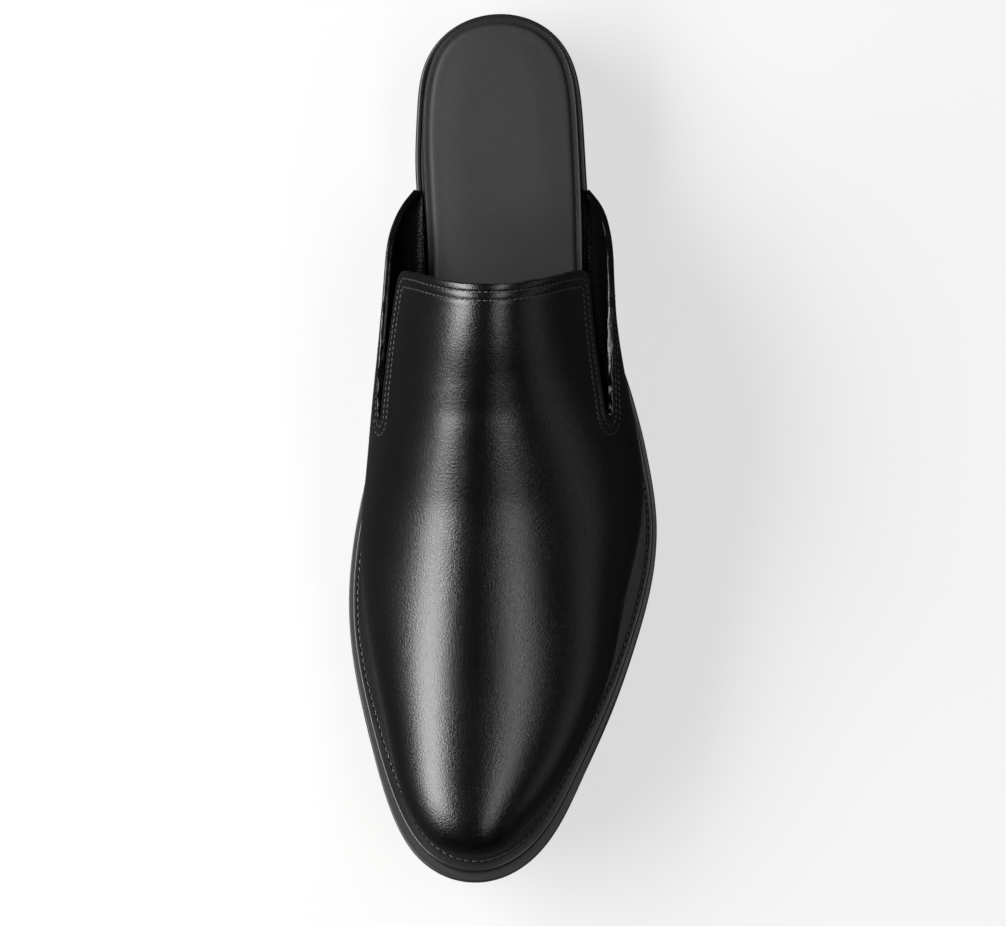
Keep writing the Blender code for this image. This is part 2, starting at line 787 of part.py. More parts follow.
def welt_profile(turn):
    """Section of the welt, from its lower outer corner around."""
    outer = flare(SOLE.along_at(turn))
    inner = SOLE_FLARE + WELT_WIDTH
    return [
        (outer + EDGE_ROUND / 2.0, under_top(outsole_top, -GAP)),
        (outer, under_top(outsole_top, -GAP - EDGE_ROUND)),
        (outer, under_top(welt_top, EDGE_ROUND)),
        (outer + EDGE_ROUND, welt_top),
        (inner, welt_top),
        (inner, under_top(outsole_top, -GAP)),
    ]


def build_welt():
    """Strip all round between outsole and upper."""
    turns = turns_between(0.0, 1.0, SOLE_STEPS)
    return build_layer("welt", "welt_leather", SOLE, turns, welt_profile, ring=True)


def insole_profile(turn):
    """Rounded, wrapped edge of the insole."""
    def depth(share):
        return lambda distance: (
            insole_bottom(distance) + share * INSOLE_THICKNESS * thickness(distance, "insole")
        )
    return [(CURVED_GAP + row.inset * EDGE_ROUND, depth(row.depth)) for row in INSOLE_RIM]


def build_insole():
    """Board wrapped in leather, whose edge shows round the seat."""
    turns = turns_between(0.0, 1.0, SOLE_STEPS)
    return build_layer("insole", "wrapped_leather", FEATHER, turns, insole_profile)


def sock_profile(turn):
    """Soft edge of the sock and its gentle crown."""
    def depth(share, crown=0.0):
        return lambda distance: insole_top(distance) + GAP + share * SOCK_THICKNESS + crown
    rim = [(SOCK_MARGIN + row.inset * SOCK_SOFT, depth(row.depth)) for row in SOCK_RIM]
    return rim + [(SOCK_MARGIN + SOCK_CROWN_IN, depth(1.0, SOCK_CROWN))]


def build_sock():
    """Padded sock on the insole, from the heel to the toe."""
    turns = turns_between(0.0, 1.0, SOLE_STEPS)
    return build_layer("sock", "sock_leather", FEATHER, turns, sock_profile)


def plate_profile(turn):
    """Section of the toe plate, from its lower outer corner around."""
    low = PLATE_INSET + toe_lean(turn, PLATE_LIP + GAP)
    high = PLATE_INSET + toe_lean(turn, PLATE_LIP + PLATE_HEIGHT + GAP)
    return [
        (low, plate_low),
        (high, plate_high),
        (high + PLATE_THICKNESS, plate_high),
        (low + PLATE_THICKNESS, plate_low),
    ]


def plate_low(distance):
    """Depth of the toe plate's lower edge."""
    return PLATE_LIP + GAP


def plate_high(distance):
    """Depth of the toe plate's upper edge, which follows the lower band."""
    return band_depth(distance, PLATE_LIP + PLATE_HEIGHT + 2.0 * GAP) - GAP


def build_toe_plate():
    """Metal strip let into the lower band around the toe."""
    start = sole_turn(PLATE_ALONG + GAP / LENGTH)
    turns = [start] + [turn for turn in sole_turns() if turn > start]
    skin = Skin()
    medial = rails(SOLE, turns, MEDIAL, plate_profile, fixed(0.0))
    lateral = rails(SOLE, turns, LATERAL, plate_profile, fixed(0.0))
    lines = medial + lateral[-2::-1]
    skin.grid([line + line[:1] for line in lines])
    skin.face(lines[0])
    skin.face(lines[-1])
    return skin.solid("toe_plate", "brushed_gold")


def heel_loop(drop, inset):
    """Outline of the heel at a drop below the seat, closed by the hollow breast."""
    breast = BREAST_ALONG * LENGTH
    share = drop / HEEL_HEIGHT
    loops = {}
    for side in (MEDIAL, LATERAL):
        points = []
        for k in range(HEEL_STEPS + 1):
            turn = sole_turn(BREAST_ALONG) * k / HEEL_STEPS
            distance, across = SOLE.point(turn, side, SEAT_OVERHANG + inset + SIDE_RAKE * share)
            back = (BACK_RAKE - SIDE_RAKE) * share * (1.0 - min(distance / breast, 1.0))
            if k == HEEL_STEPS:
                distance = breast - inset
            points.append((distance + back, across))
        loops[side] = points
    start = loops[LATERAL][-1]
    end = loops[MEDIAL][-1]
    front = []
    for k in range(1, BREAST_STEPS):
        reach = k / BREAST_STEPS
        hollow = BREAST_HOLLOW * 4.0 * reach * (1.0 - reach)
        across = start[1] + (end[1] - start[1]) * reach
        front.append((start[0] - hollow, across))
    return loops[MEDIAL][::-1] + loops[LATERAL][1:] + front


def seat_height(distance):
    """Height of the heel's top, a straight line from back to breast."""
    back = underside(0.0)
    breast = underside(BREAST_ALONG * LENGTH)
    return back + (breast - back) * distance / (BREAST_ALONG * LENGTH) - GAP


def build_heel_piece(name, finish, top_drop, bottom_drop):
    """One layer of the heel between two drops below the seat; no bottom drop means the ground."""
    skin = Skin()
    rings = []
    on_ground = bottom_drop is None
    ground_drop = HEEL_HEIGHT if on_ground else bottom_drop
    steps = [
        (ground_drop, HEEL_ROUND, 0.0),
        (ground_drop, 0.0, HEEL_ROUND),
        (top_drop, 0.0, -HEEL_ROUND),
        (top_drop, HEEL_ROUND, 0.0),
    ]
    for k, (drop, inset, lift) in enumerate(steps):
        ring = []
        for distance, across in heel_loop(drop, inset):
            height = seat_height(distance) - drop + lift
            if on_ground and k < 2:
                height = lift
            ring.append((across, -distance, height))
        rings.append(ring + ring[:1])
    skin.grid(rings)
    skin.face(rings[0][:-1])
    skin.face(rings[-1][:-1])
    return skin.solid(name, finish)


def build_heel():
    """Three stacked lifts and the rubber top piece that stands on the ground."""
    pieces = []
    drop = 0.0
    for number in (1, 2, 3):
        bottom = drop + LIFT_THICKNESS
        pieces.append(build_heel_piece(f"heel_lift_{number}", "stacked_heel", drop, bottom))
        drop = bottom + GAP
    pieces.append(build_heel_piece("heel_top_piece", "heel_rubber", drop, None))
    return pieces


def clear_scene():
    """Remove what the scene holds."""
    for old in list(bpy.data.objects):
        bpy.data.objects.remove(old, do_unlink=True)


def centre_on_ground(pieces):
    """Move the shoe so that the middle of its box is over the origin."""
    corners = np.array([vertex.co[:] for piece in pieces for vertex in piece.data.vertices])
    middle = (corners.min(axis=0) + corners.max(axis=0)) / 2.0
    for piece in pieces:
        piece.location = (-middle[0], -middle[1], 0.0)


def main():
    """Build every piece of the shoe."""
    clear_scene()
    pieces = [build_upper(), build_sock(), build_insole(), build_welt(), build_outsole()]
    pieces.append(build_toe_plate())
    pieces += build_heel()
    centre_on_ground(pieces)


main()
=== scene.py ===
"""Looks of a backless mule for the left foot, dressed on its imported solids.

Metres, +Z up, toe towards -Y, outer side of the foot towards +X. Places along the shoe are given
by their distance from the back of the heel. Pieces are worked out in the shoe's own frame, with the
back of the heel at y = 0 and the long axis at x = 0, and are then moved to the model's frame.
"""

import logging
import math
from collections.abc import Callable, Mapping, Sequence
from dataclasses import dataclass, field
from enum import Enum
from typing import NamedTuple

import bmesh
import bpy
import numpy as np
from mathutils import Matrix, Vector
from mathutils.bvhtree import BVHTree
from mathutils.kdtree import KDTree

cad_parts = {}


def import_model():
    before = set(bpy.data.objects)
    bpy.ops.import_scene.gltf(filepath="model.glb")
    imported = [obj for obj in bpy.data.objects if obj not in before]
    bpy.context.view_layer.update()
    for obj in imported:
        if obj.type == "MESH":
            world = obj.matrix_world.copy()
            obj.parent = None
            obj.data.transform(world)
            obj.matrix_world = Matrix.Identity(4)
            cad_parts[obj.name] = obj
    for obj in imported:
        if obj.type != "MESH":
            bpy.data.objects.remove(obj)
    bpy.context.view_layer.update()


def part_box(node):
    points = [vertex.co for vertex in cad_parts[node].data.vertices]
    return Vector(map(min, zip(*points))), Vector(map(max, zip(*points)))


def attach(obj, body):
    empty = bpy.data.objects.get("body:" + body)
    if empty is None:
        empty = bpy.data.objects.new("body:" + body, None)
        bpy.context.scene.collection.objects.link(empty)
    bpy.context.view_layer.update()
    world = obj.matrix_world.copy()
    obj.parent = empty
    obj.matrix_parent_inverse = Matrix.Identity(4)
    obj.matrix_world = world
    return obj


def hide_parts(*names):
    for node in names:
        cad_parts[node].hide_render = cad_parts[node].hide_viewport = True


Array = np.ndarray
Depth = Callable[[Array], Array]
Corners = list[tuple[Array | float, Depth]]
Colour = tuple[float, float, float]
Place = tuple[float, float, float]

LOG = logging.getLogger("mule")

# Main sizes, the same as the solids have
LENGTH = 0.268
BALL_WIDTH = 0.095
HEEL_WIDTH = 0.052
INSTEP_RISE = 0.078
NOSE_RISE = 0.010
HEEL_HEIGHT = 0.0165
TOE_SPRING = 0.0230
WALL = 0.0018
WELT_THICKNESS = 0.0025
OUTSOLE_THICKNESS = 0.0059
INSOLE_THICKNESS = 0.0046
SOCK_THICKNESS = 0.0022
LIFT_THICKNESS = 0.0035
GAP = 0.0003
WAIST_ALONG = 0.29
ARCH_ALONG = 0.52
SLIT_ALONG = 0.474
QUARTER_ALONG = 0.205
BREAST_ALONG = 0.203
PLATE_ALONG = 0.888
TOE_FLARE = 0.0011
TOE_FLARE_ALONG = (0.80, 1.0)
UPPER_TIP = -0.079


class Side(Enum):
    """Half of the shoe, with the sign of its places across."""

    MEDIAL = -1
    LATERAL = 1

    @property
    def label(self) -> str:
        """Name of the table column of this side."""
        return self.name.lower()


class OutlineRow(NamedTuple):
    """Half widths at a share of the length, as shares of the heel's or the ball's width."""

    along: float
    medial: float
    lateral: float


class HeightRow(NamedTuple):
    """Height of the underside, as a share of the heel's height or of the toe spring."""

    along: float
    height: float


class ThicknessRow(NamedTuple):
    """Thickness of outsole and insole as shares of their full thickness."""

    along: float
    outsole: float
    insole: float


class SectionRow(NamedTuple):
    """One section of the last, in shares of the ball's width and of the instep's rise."""

    along: float
    medial: float
    lateral: float
    belly: float
    ridge: float
    swing: float
    medial_fullness: float
    lateral_fullness: float


class EdgeRow(NamedTuple):
    """Height of a free edge over the welt, as shares of the instep's rise."""

    along: float
    medial: float
    lateral: float


SOLE_OUTLINE = (
    OutlineRow(0.029, 0.360, 0.345),
    OutlineRow(0.070, 0.472, 0.452),
    OutlineRow(0.120, 0.500, 0.488),
    OutlineRow(0.190, 0.505, 0.510),
    OutlineRow(0.260, 0.485, 0.540),
    OutlineRow(0.340, 0.292, 0.338),
    OutlineRow(0.430, 0.352, 0.424),
    OutlineRow(0.510, 0.422, 0.480),
    OutlineRow(0.580, 0.467, 0.508),
    OutlineRow(0.650, 0.492, 0.495),
    OutlineRow(0.720, 0.489, 0.445),
    OutlineRow(0.800, 0.450, 0.367),
    OutlineRow(0.880, 0.390, 0.266),
    OutlineRow(0.940, 0.324, 0.177),
    OutlineRow(0.970, 0.268, 0.110),
)

FEATHER_OUTLINE = (
    OutlineRow(0.030, 0.342, 0.330),
    OutlineRow(0.075, 0.450, 0.440),
    OutlineRow(0.120, 0.476, 0.468),
    OutlineRow(0.180, 0.474, 0.484),
    OutlineRow(0.240, 0.456, 0.496),
    OutlineRow(0.300, 0.246, 0.276),
    OutlineRow(0.375, 0.268, 0.300),
    OutlineRow(0.450, 0.316, 0.350),
    OutlineRow(0.525, 0.366, 0.396),
    OutlineRow(0.590, 0.396, 0.406),
    OutlineRow(0.655, 0.402, 0.382),
    OutlineRow(0.730, 0.380, 0.336),
    OutlineRow(0.800, 0.340, 0.272),
    OutlineRow(0.875, 0.276, 0.150),
    OutlineRow(0.925, 0.204, 0.046),
)

UNDERSIDE = (
    HeightRow(0.000, 1.050),
    HeightRow(0.100, 1.010),
    HeightRow(0.203, 0.970),
    HeightRow(0.270, 0.745),
    HeightRow(0.330, 0.500),
    HeightRow(0.390, 0.245),
    HeightRow(0.440, 0.065),
    HeightRow(0.480, 0.000),
    HeightRow(0.565, 0.000),
    HeightRow(0.630, 0.062),
    HeightRow(0.700, 0.165),
    HeightRow(0.780, 0.330),
    HeightRow(0.860, 0.545),
    HeightRow(0.930, 0.755),
    HeightRow(1.000, 1.000),
)

THICKNESS = (
    ThicknessRow(0.00, 0.51, 1.00),
    ThicknessRow(0.22, 0.53, 1.00),
    ThicknessRow(0.34, 0.73, 0.85),
    ThicknessRow(0.50, 0.98, 0.65),
    ThicknessRow(0.65, 1.00, 0.62),
    ThicknessRow(0.85, 0.96, 0.62),
    ThicknessRow(1.00, 0.88, 0.62),
)

SECTIONS = (
    SectionRow(0.205, 0.306, 0.306, 0.209, 0.990, -0.033, 0.50, 0.35),
    SectionRow(0.222, 0.333, 0.335, 0.214, 0.996, -0.034, 0.50, 0.35),
    SectionRow(0.243, 0.355, 0.352, 0.220, 1.002, -0.035, 0.50, 0.35),
    SectionRow(0.300, 0.374, 0.364, 0.236, 1.008, -0.038, 0.50, 0.35),
    SectionRow(0.366, 0.390, 0.378, 0.250, 1.000, -0.042, 0.50, 0.33),
    SectionRow(0.455, 0.417, 0.423, 0.237, 0.905, -0.053, 0.48, 0.33),
    SectionRow(0.530, 0.436, 0.459, 0.205, 0.792, -0.056, 0.46, 0.38),
    SectionRow(0.597, 0.453, 0.452, 0.179, 0.690, -0.058, 0.45, 0.45),
    SectionRow(0.672, 0.445, 0.406, 0.167, 0.586, -0.061, 0.45, 0.50),
    SectionRow(0.746, 0.413, 0.364, 0.158, 0.497, -0.065, 0.48, 0.52),
    SectionRow(0.821, 0.370, 0.290, 0.151, 0.427, -0.072, 0.52, 0.55),
    SectionRow(0.896, 0.322, 0.176, 0.141, 0.356, -0.078, 0.55, 0.55),
    SectionRow(0.940, 0.260, 0.076, 0.133, 0.285, -0.079, 0.55, 0.55),
    SectionRow(0.958, 0.213, 0.030, 0.130, 0.235, -0.079, 0.55, 0.55),
)

TOPLINE = (
    EdgeRow(0.205, 0.030, 0.030),
    EdgeRow(0.222, 0.084, 0.086),
    EdgeRow(0.243, 0.132, 0.138),
    EdgeRow(0.269, 0.190, 0.199),
    EdgeRow(0.299, 0.242, 0.263),
    EdgeRow(0.358, 0.335, 0.374),
    EdgeRow(0.418, 0.410, 0.464),
    EdgeRow(0.474, 0.456, 0.519),
)

TAB_SIDE = (
    EdgeRow(0.300, 0.620, 0.625),
    EdgeRow(0.358, 0.572, 0.610),
    EdgeRow(0.418, 0.524, 0.575),
    EdgeRow(0.474, 0.456, 0.519),
)


class NaturalSpline:
    """Smooth curve through its knots, with no bend at its two ends."""

    def __init__(self, knots: Sequence[float], values: Sequence[float]) -> None:
        """Work out the bend at each knot.

        Args:
            knots: Places of the knots, rising.
            values: Value at each knot.
        """
        self.knots = np.asarray(knots, dtype=float)
        self.values = np.asarray(values, dtype=float)
        self.steps = np.diff(self.knots)
        slopes = np.diff(self.values) / self.steps
        count = len(self.knots)
        system = np.eye(count)
        right = np.zeros(count)
        for k in range(1, count - 1):
            before, after = self.steps[k - 1], self.steps[k]
            system[k, k - 1:k + 2] = before, 2.0 * (before + after), after
            right[k] = 6.0 * (slopes[k] - slopes[k - 1])
        self.bends = np.linalg.solve(system, right)

    def __call__(self, places: Array) -> Array:
        """Value of the curve.

        Args:
            places: Where to read it.

        Returns:
            A value for each place.
        """
        places = np.asarray(places, dtype=float)
        k = np.clip(np.searchsorted(self.knots, places) - 1, 0, len(self.knots) - 2)
        width = self.steps[k]
        before = (self.knots[k + 1] - places) / width
        after = 1.0 - before
        bend = (before**3 - before) * self.bends[k] + (after**3 - after) * self.bends[k + 1]
        return before * self.values[k] + after * self.values[k + 1] + bend * width**2 / 6.0


class SteadySpline:
    """Curve through its knots that never swings past them, so level stretches stay level."""

    def __init__(self, knots: Sequence[float], values: Sequence[float]) -> None:
        """Work out the tangent at each knot.

        Args:
            knots: Places of the knots, rising.
            values: Value at each knot.
        """
        self.knots = np.asarray(knots, dtype=float)
        self.values = np.asarray(values, dtype=float)
        self.steps = np.diff(self.knots)
        slopes = np.diff(self.values) / self.steps
        self.tangents = np.zeros(len(self.knots))
        self.tangents[0] = slopes[0]
        self.tangents[-1] = slopes[-1]
        for k in range(1, len(self.knots) - 1):
            first, second = slopes[k - 1], slopes[k]
            if first * second > 0.0:
                self.tangents[k] = 2.0 * first * second / (first + second)

    def __call__(self, places: Array) -> Array:
        """Value of the curve.

        Args:
            places: Where to read it.

        Returns:
            A value for each place.
        """
        places = np.asarray(places, dtype=float)
        k = np.clip(np.searchsorted(self.knots, places) - 1, 0, len(self.knots) - 2)
        u = (places - self.knots[k]) / self.steps[k]
        start = (1.0 + 2.0 * u) * (1.0 - u) ** 2 * self.values[k]
        end = u**2 * (3.0 - 2.0 * u) * self.values[k + 1]
        tilt = (1.0 - u) * self.tangents[k] - u * self.tangents[k + 1]
        return start + end + self.steps[k] * u * (1.0 - u) * tilt


def column(rows: Sequence[NamedTuple], name: str) -> list[float]:
    """One column of a table as a list."""
    return [getattr(row, name) for row in rows]


def half_turn(along: Array | Sequence[float] | float, tail: float, nose: float) -> Array:
    """Place between tail and nose as a share of a half turn, which makes round ends even."""
    share = np.clip((np.asarray(along, dtype=float) - tail) / (nose - tail), 0.0, 1.0)
    return np.arccos(1.0 - 2.0 * share) / math.pi


def smooth_step(share: Array | float) -> Array:
    """Soft change from 0 to 1."""
    share = np.clip(share, 0.0, 1.0)
    return share * share * (3.0 - 2.0 * share)


def eased(along: Array, span: tuple[float, float]) -> Array:
    """Soft change from 0 to 1 over a stretch between two shares of the length."""
    start, end = span
    return smooth_step((along - start) / (end - start))


def sole_turn(along: float) -> float:
    """Share of the sole's half turn at a share of its length."""
    return float(half_turn(along, 0.0, 1.0))


def fixed(depth: float) -> Depth:
    """Depth that is the same all along the shoe."""
    return lambda distance: np.full_like(distance, depth)


def over(base: Depth, rise: float) -> Depth:
    """Depth that stays a rise over another depth."""
    return lambda distance: base(distance) + rise


@dataclass
class Outline:
    """Closed outline of a left foot seen from above, round at heel and toe."""

    rows: Sequence[OutlineRow]
    tail: float
    nose: float
    tip: float
    step: float = 0.001
    curves: dict[Side, NaturalSpline] = field(init=False, default_factory=dict)

    def __post_init__(self) -> None:
        """Fit a curve to each side."""
        places = half_turn(column(self.rows, "along"), self.tail, self.nose)
        turns = [0.0, *places, 1.0]
        for side in Side:
            widths = [0.0]
            for row in self.rows:
                size = HEEL_WIDTH if row.along < WAIST_ALONG else BALL_WIDTH
                widths.append(side.value * getattr(row, side.label) * size)
            widths.append(self.tip * BALL_WIDTH)
            self.curves[side] = NaturalSpline(turns, widths)

    def distance_at(self, turn: Array) -> Array:
        """Distance from the heel at a share of the half turn."""
        share = (1.0 - np.cos(math.pi * turn)) / 2.0
        return (self.tail + (self.nose - self.tail) * share) * LENGTH

    def point(self, turn: Array, side: Side, inset: Array | float) -> tuple[Array, Array]:
        """Places a little inside the outline.

        Args:
            turn: Shares of the half turn from heel to toe.
            side: Half of the shoe.
            inset: How far in from the edge.

        Returns:
            Distances from the heel and places across.
        """
        low = np.maximum(turn - self.step, 0.0)
        high = np.minimum(turn + self.step, 1.0)
        curve = self.curves[side]
        swing = curve(high) - curve(low)
        run = self.distance_at(high) - self.distance_at(low)
        run = np.where((turn <= 0.0) | (turn >= 1.0), 0.0, run)
        size = np.hypot(run, swing)
        distance = self.distance_at(turn) + side.value * swing / size * inset
        return distance, curve(turn) - side.value * run / size * inset

    def across_at(self, distance: Array, side: Side) -> Array:
        """Place of the outline across the shoe at a distance from the heel."""
        return self.curves[side](half_turn(distance / LENGTH, self.tail, self.nose))


class SoleLine:
    """Heights of the sole and the depths of the layers on it."""

    def __init__(self) -> None:
        """Fit the curves of the underside and of the thicknesses."""
        along = column(UNDERSIDE, "along")
        heights = [row.height * (HEEL_HEIGHT if row.along < ARCH_ALONG else TOE_SPRING)
                   for row in UNDERSIDE]
        self.under = SteadySpline(along, heights)
        places = column(THICKNESS, "along")
        self.outsole_share = SteadySpline(places, column(THICKNESS, "outsole"))
        self.insole_share = SteadySpline(places, column(THICKNESS, "insole"))

    def underside(self, distance: Array) -> Array:
        """Height of the underside over the ground."""
        return self.under(np.clip(distance / LENGTH, 0.0, 1.0))

    def slope(self, distance: Array) -> Array:
        """Angle of the underside, rising towards the toe."""
        step = 0.001
        distance = np.clip(distance, 0.0, LENGTH)
        rise = self.underside(distance + step) - self.underside(distance - step)
        low = np.maximum(distance - step, 0.0)
        high = np.minimum(distance + step, LENGTH)
        return np.arctan2(rise, high - low)

    def fullness(self, distance: Array) -> Array:
        """Share of the outsole's full thickness."""
        return self.outsole_share(np.clip(distance / LENGTH, 0.0, 1.0))

    def outsole_top(self, distance: Array) -> Array:
        """Depth of the outsole's top over its underside."""
        return OUTSOLE_THICKNESS * self.fullness(distance)

    def welt_top(self, distance: Array) -> Array:
        """Depth of the welt's top."""
        return self.outsole_top(distance) + GAP + WELT_THICKNESS

    def insole_bottom(self, distance: Array) -> Array:
        """Depth of the insole's underside, and of the upper's, just over the welt."""
        return self.welt_top(distance) + GAP

    def insole_depth(self, share: float) -> Depth:
        """Depth at a share of the insole's own thickness."""
        def depth(distance: Array) -> Array:
            full = self.insole_share(np.clip(distance / LENGTH, 0.0, 1.0))
            return self.insole_bottom(distance) + share * INSOLE_THICKNESS * full
        return depth

    def stacked(self, base: Array, across: Array, depth: Array) -> Array:
        """Points at a depth over places of the underside, measured square to it."""
        angle = self.slope(base)
        past = np.maximum(base - LENGTH, 0.0)
        height = self.underside(base) + np.tan(angle) * past + np.cos(angle) * depth
        return np.stack([across, -(base - np.sin(angle) * depth), height], axis=-1)

    def base_under(self, distance: Array, level: Depth) -> Array:
        """Places of the underside that lie square below points at a level over it."""
        base = distance
        for _ in range(3):
            base = distance + np.sin(self.slope(base)) * level(base)
        return base

    def ground(self, distance: Array) -> Array:
        """Height that the upper stands on, just over the welt."""
        base = self.base_under(distance, self.insole_bottom)
        return self.underside(base) + np.cos(self.slope(base)) * self.insole_bottom(base)


SOLE = Outline(SOLE_OUTLINE, 0.0, 1.0, -0.082)
FEATHER = Outline(FEATHER_OUTLINE, 0.003, 0.9571, UPPER_TIP)
LINE = SoleLine()


@dataclass
class Last:
    """The form that the upper is drawn over."""

    nose: float = 0.9720 * LENGTH
    section_steps: int = 60
    ridge_fullness: float = 0.50
    slit_round: float = 0.0008
    tab_side_at: float = 0.311 * LENGTH
    tab_ridge_at: float = 0.334 * LENGTH
    tab_corner: float = 0.0040
    curves: dict[str, NaturalSpline] = field(init=False, default_factory=dict)
    edges: dict[tuple[int, Side], NaturalSpline] = field(init=False, default_factory=dict)

    def __post_init__(self) -> None:
        """Fit a curve to every column of the tables."""
        nose_along = self.nose / LENGTH
        turns = [*half_turn(column(SECTIONS, "along"), 0.0, nose_along), 1.0]
        last = SECTIONS[-1]
        ends = {
            "medial": -UPPER_TIP,
            "lateral": UPPER_TIP,
            "belly": NOSE_RISE / INSTEP_RISE,
            "ridge": NOSE_RISE / INSTEP_RISE,
            "swing": UPPER_TIP,
            "medial_fullness": last.medial_fullness,
            "lateral_fullness": last.lateral_fullness,
        }
        for name, end in ends.items():
            self.curves[name] = NaturalSpline(turns, [*column(SECTIONS, name), end])
        for number, rows in enumerate((TOPLINE, TAB_SIDE)):
            for side in Side:
                values = column(rows, side.label)
                self.edges[(number, side)] = NaturalSpline(column(rows, "along"), values)

    def sections(self, distance: Array, side: Side) -> tuple[Array, Array]:
        """Sections of the last, from the feather edge up to the ridge.

        Args:
            distance: Distances from the heel.
            side: Half of the shoe.

        Returns:
            Places across and heights, a row for each distance.
        """
        distance = np.minimum(distance, self.nose)
        turn = half_turn(distance / LENGTH, 0.0, self.nose / LENGTH)
        ground = LINE.ground(distance)
        feather_nose = FEATHER.nose * LENGTH
        reach = np.clip((distance - feather_nose) / (self.nose - feather_nose), 0.0, 1.0)
        foot = np.where(distance < feather_nose, FEATHER.across_at(distance, side),
                        UPPER_TIP * BALL_WIDTH)
        foot_height = ground + NOSE_RISE * (1.0 - np.sqrt(1.0 - reach**2))
        belly = side.value * self.curves[side.label](turn) * BALL_WIDTH
        belly_height = ground + self.curves["belly"](turn) * INSTEP_RISE
        ridge = self.curves["swing"](turn) * BALL_WIDTH
        ridge_height = ground + self.curves["ridge"](turn) * INSTEP_RISE
        fullness = self.curves[side.label + "_fullness"](turn)[:, None]
        angle = np.linspace(0.0, math.pi / 2.0, self.section_steps)[None, :]
        low_across = foot[:, None] + (belly - foot)[:, None] * np.sin(angle)
        low_height = foot_height[:, None] + (belly_height - foot_height)[:, None] * (
            1.0 - np.cos(angle))
        u = np.linspace(0.0, 1.0, self.section_steps)[None, 1:]
        rest = (1.0 - u) ** 3 + 3.0 * (1.0 - u) ** 2 * u
        rest = rest + 3.0 * (1.0 - u) * u**2 * self.ridge_fullness
        climb = 3.0 * (1.0 - u) ** 2 * u * fullness + 3.0 * (1.0 - u) * u**2 + u**3
        high_across = ridge[:, None] + (belly - ridge)[:, None] * rest
        high_height = belly_height[:, None] + (ridge_height - belly_height)[:, None] * climb
        across = np.concatenate([low_across, high_across], axis=1)
        height = np.concatenate([low_height, high_height], axis=1)
        return across, height

    @staticmethod
    def girths(across: Array, height: Array) -> Array:
        """Length along each section from the feather edge to each of its points."""
        steps = np.hypot(np.diff(across, axis=1), np.diff(height, axis=1))
        return np.concatenate([np.zeros((len(steps), 1)), np.cumsum(steps, axis=1)], axis=1)

    def skin(self, distance: Array, side: Side, share: Array) -> Array:
        """Points of the last's skin.

        Args:
            distance: A distance for each line.
            side: Half of the shoe.
            share: Shares of the way from the feather edge to the ridge, a row for each line.

        Returns:
            Points as lines, columns and coordinates.
        """
        across, height = self.sections(distance, side)
        girth = self.girths(across, height)
        points = np.empty((*share.shape, 3))
        for k, shares in enumerate(share):
            place = shares * girth[k, -1]
            points[k, :, 0] = np.interp(place, girth[k], across[k])
            points[k, :, 2] = np.interp(place, girth[k], height[k])
        points[:, :, 1] = -np.minimum(distance, self.nose)[:, None]
        return points

    def edge_share(self, number: int, distance: Array, side: Side, lift: float) -> Array:
        """Share of the section where a free edge runs.

        Args:
            number: 0 for the topline, 1 for the tab's side.
            distance: Distances from the heel.
            side: Half of the shoe.
            lift: How the edge is drawn away at the slit's round end: up 1, down -1, not 0.

        Returns:
            A share for each distance.
        """
        rise = self.edges[(number, side)](distance / LENGTH) * INSTEP_RISE
        from_end = np.maximum(SLIT_ALONG * LENGTH - distance, 0.0)
        rounding = np.sqrt(2.0 * self.slit_round * from_end)
        rise = rise + lift * rounding * np.exp(-from_end / (6.0 * self.slit_round))
        across, height = self.sections(distance, side)
        girth = self.girths(across, height)
        ground = LINE.ground(distance)
        places = [np.interp(ground[k] + rise[k], height[k], girth[k]) / girth[k, -1]
                  for k in range(len(distance))]
        return np.array(places)

    def tab_end(self, share: Array, side: Side) -> Array:
        """Distance from the heel of the tab's end, from its side (0) to the ridge (1)."""
        corner = np.array([self.tab_side_at])
        across, height = self.sections(corner, side)
        run = self.girths(across, height)[0, -1]
        run *= 1.0 - self.edge_share(1, corner, side, 1.0)[0]
        reach = np.minimum(share * run / self.tab_corner, 1.0)
        rounding = self.tab_corner * (1.0 - np.sqrt(1.0 - (1.0 - reach) ** 2))
        drawn_back = (self.tab_ridge_at - self.tab_side_at) * smooth_step(share)
        return self.tab_side_at + drawn_back + rounding


LAST = Last()


class Value:
    """A socket that takes part in sums, so that shader maths reads as plain expressions."""

    def __init__(self, nodes: "Nodes", socket: bpy.types.NodeSocket) -> None:
        """Keep the socket and the tree that it is in."""
        self.nodes = nodes
        self.socket = socket

    def maths(self, operation: str, *others: "Value | float") -> "Value":
        """Result of a Math node with this value as its first input."""
        return self.nodes.maths(operation, self, *others)

    def __add__(self, other: "Value | float") -> "Value":
        """Sum."""
        return self.maths("ADD", other)

    __radd__ = __add__

    def __sub__(self, other: "Value | float") -> "Value":
        """Difference."""
        return self.maths("SUBTRACT", other)

    def __rsub__(self, other: float) -> "Value":
        """A number less this value."""
        return self.nodes.maths("SUBTRACT", other, self)

    def __mul__(self, other: "Value | float") -> "Value":
        """Product."""
        return self.maths("MULTIPLY", other)

    __rmul__ = __mul__


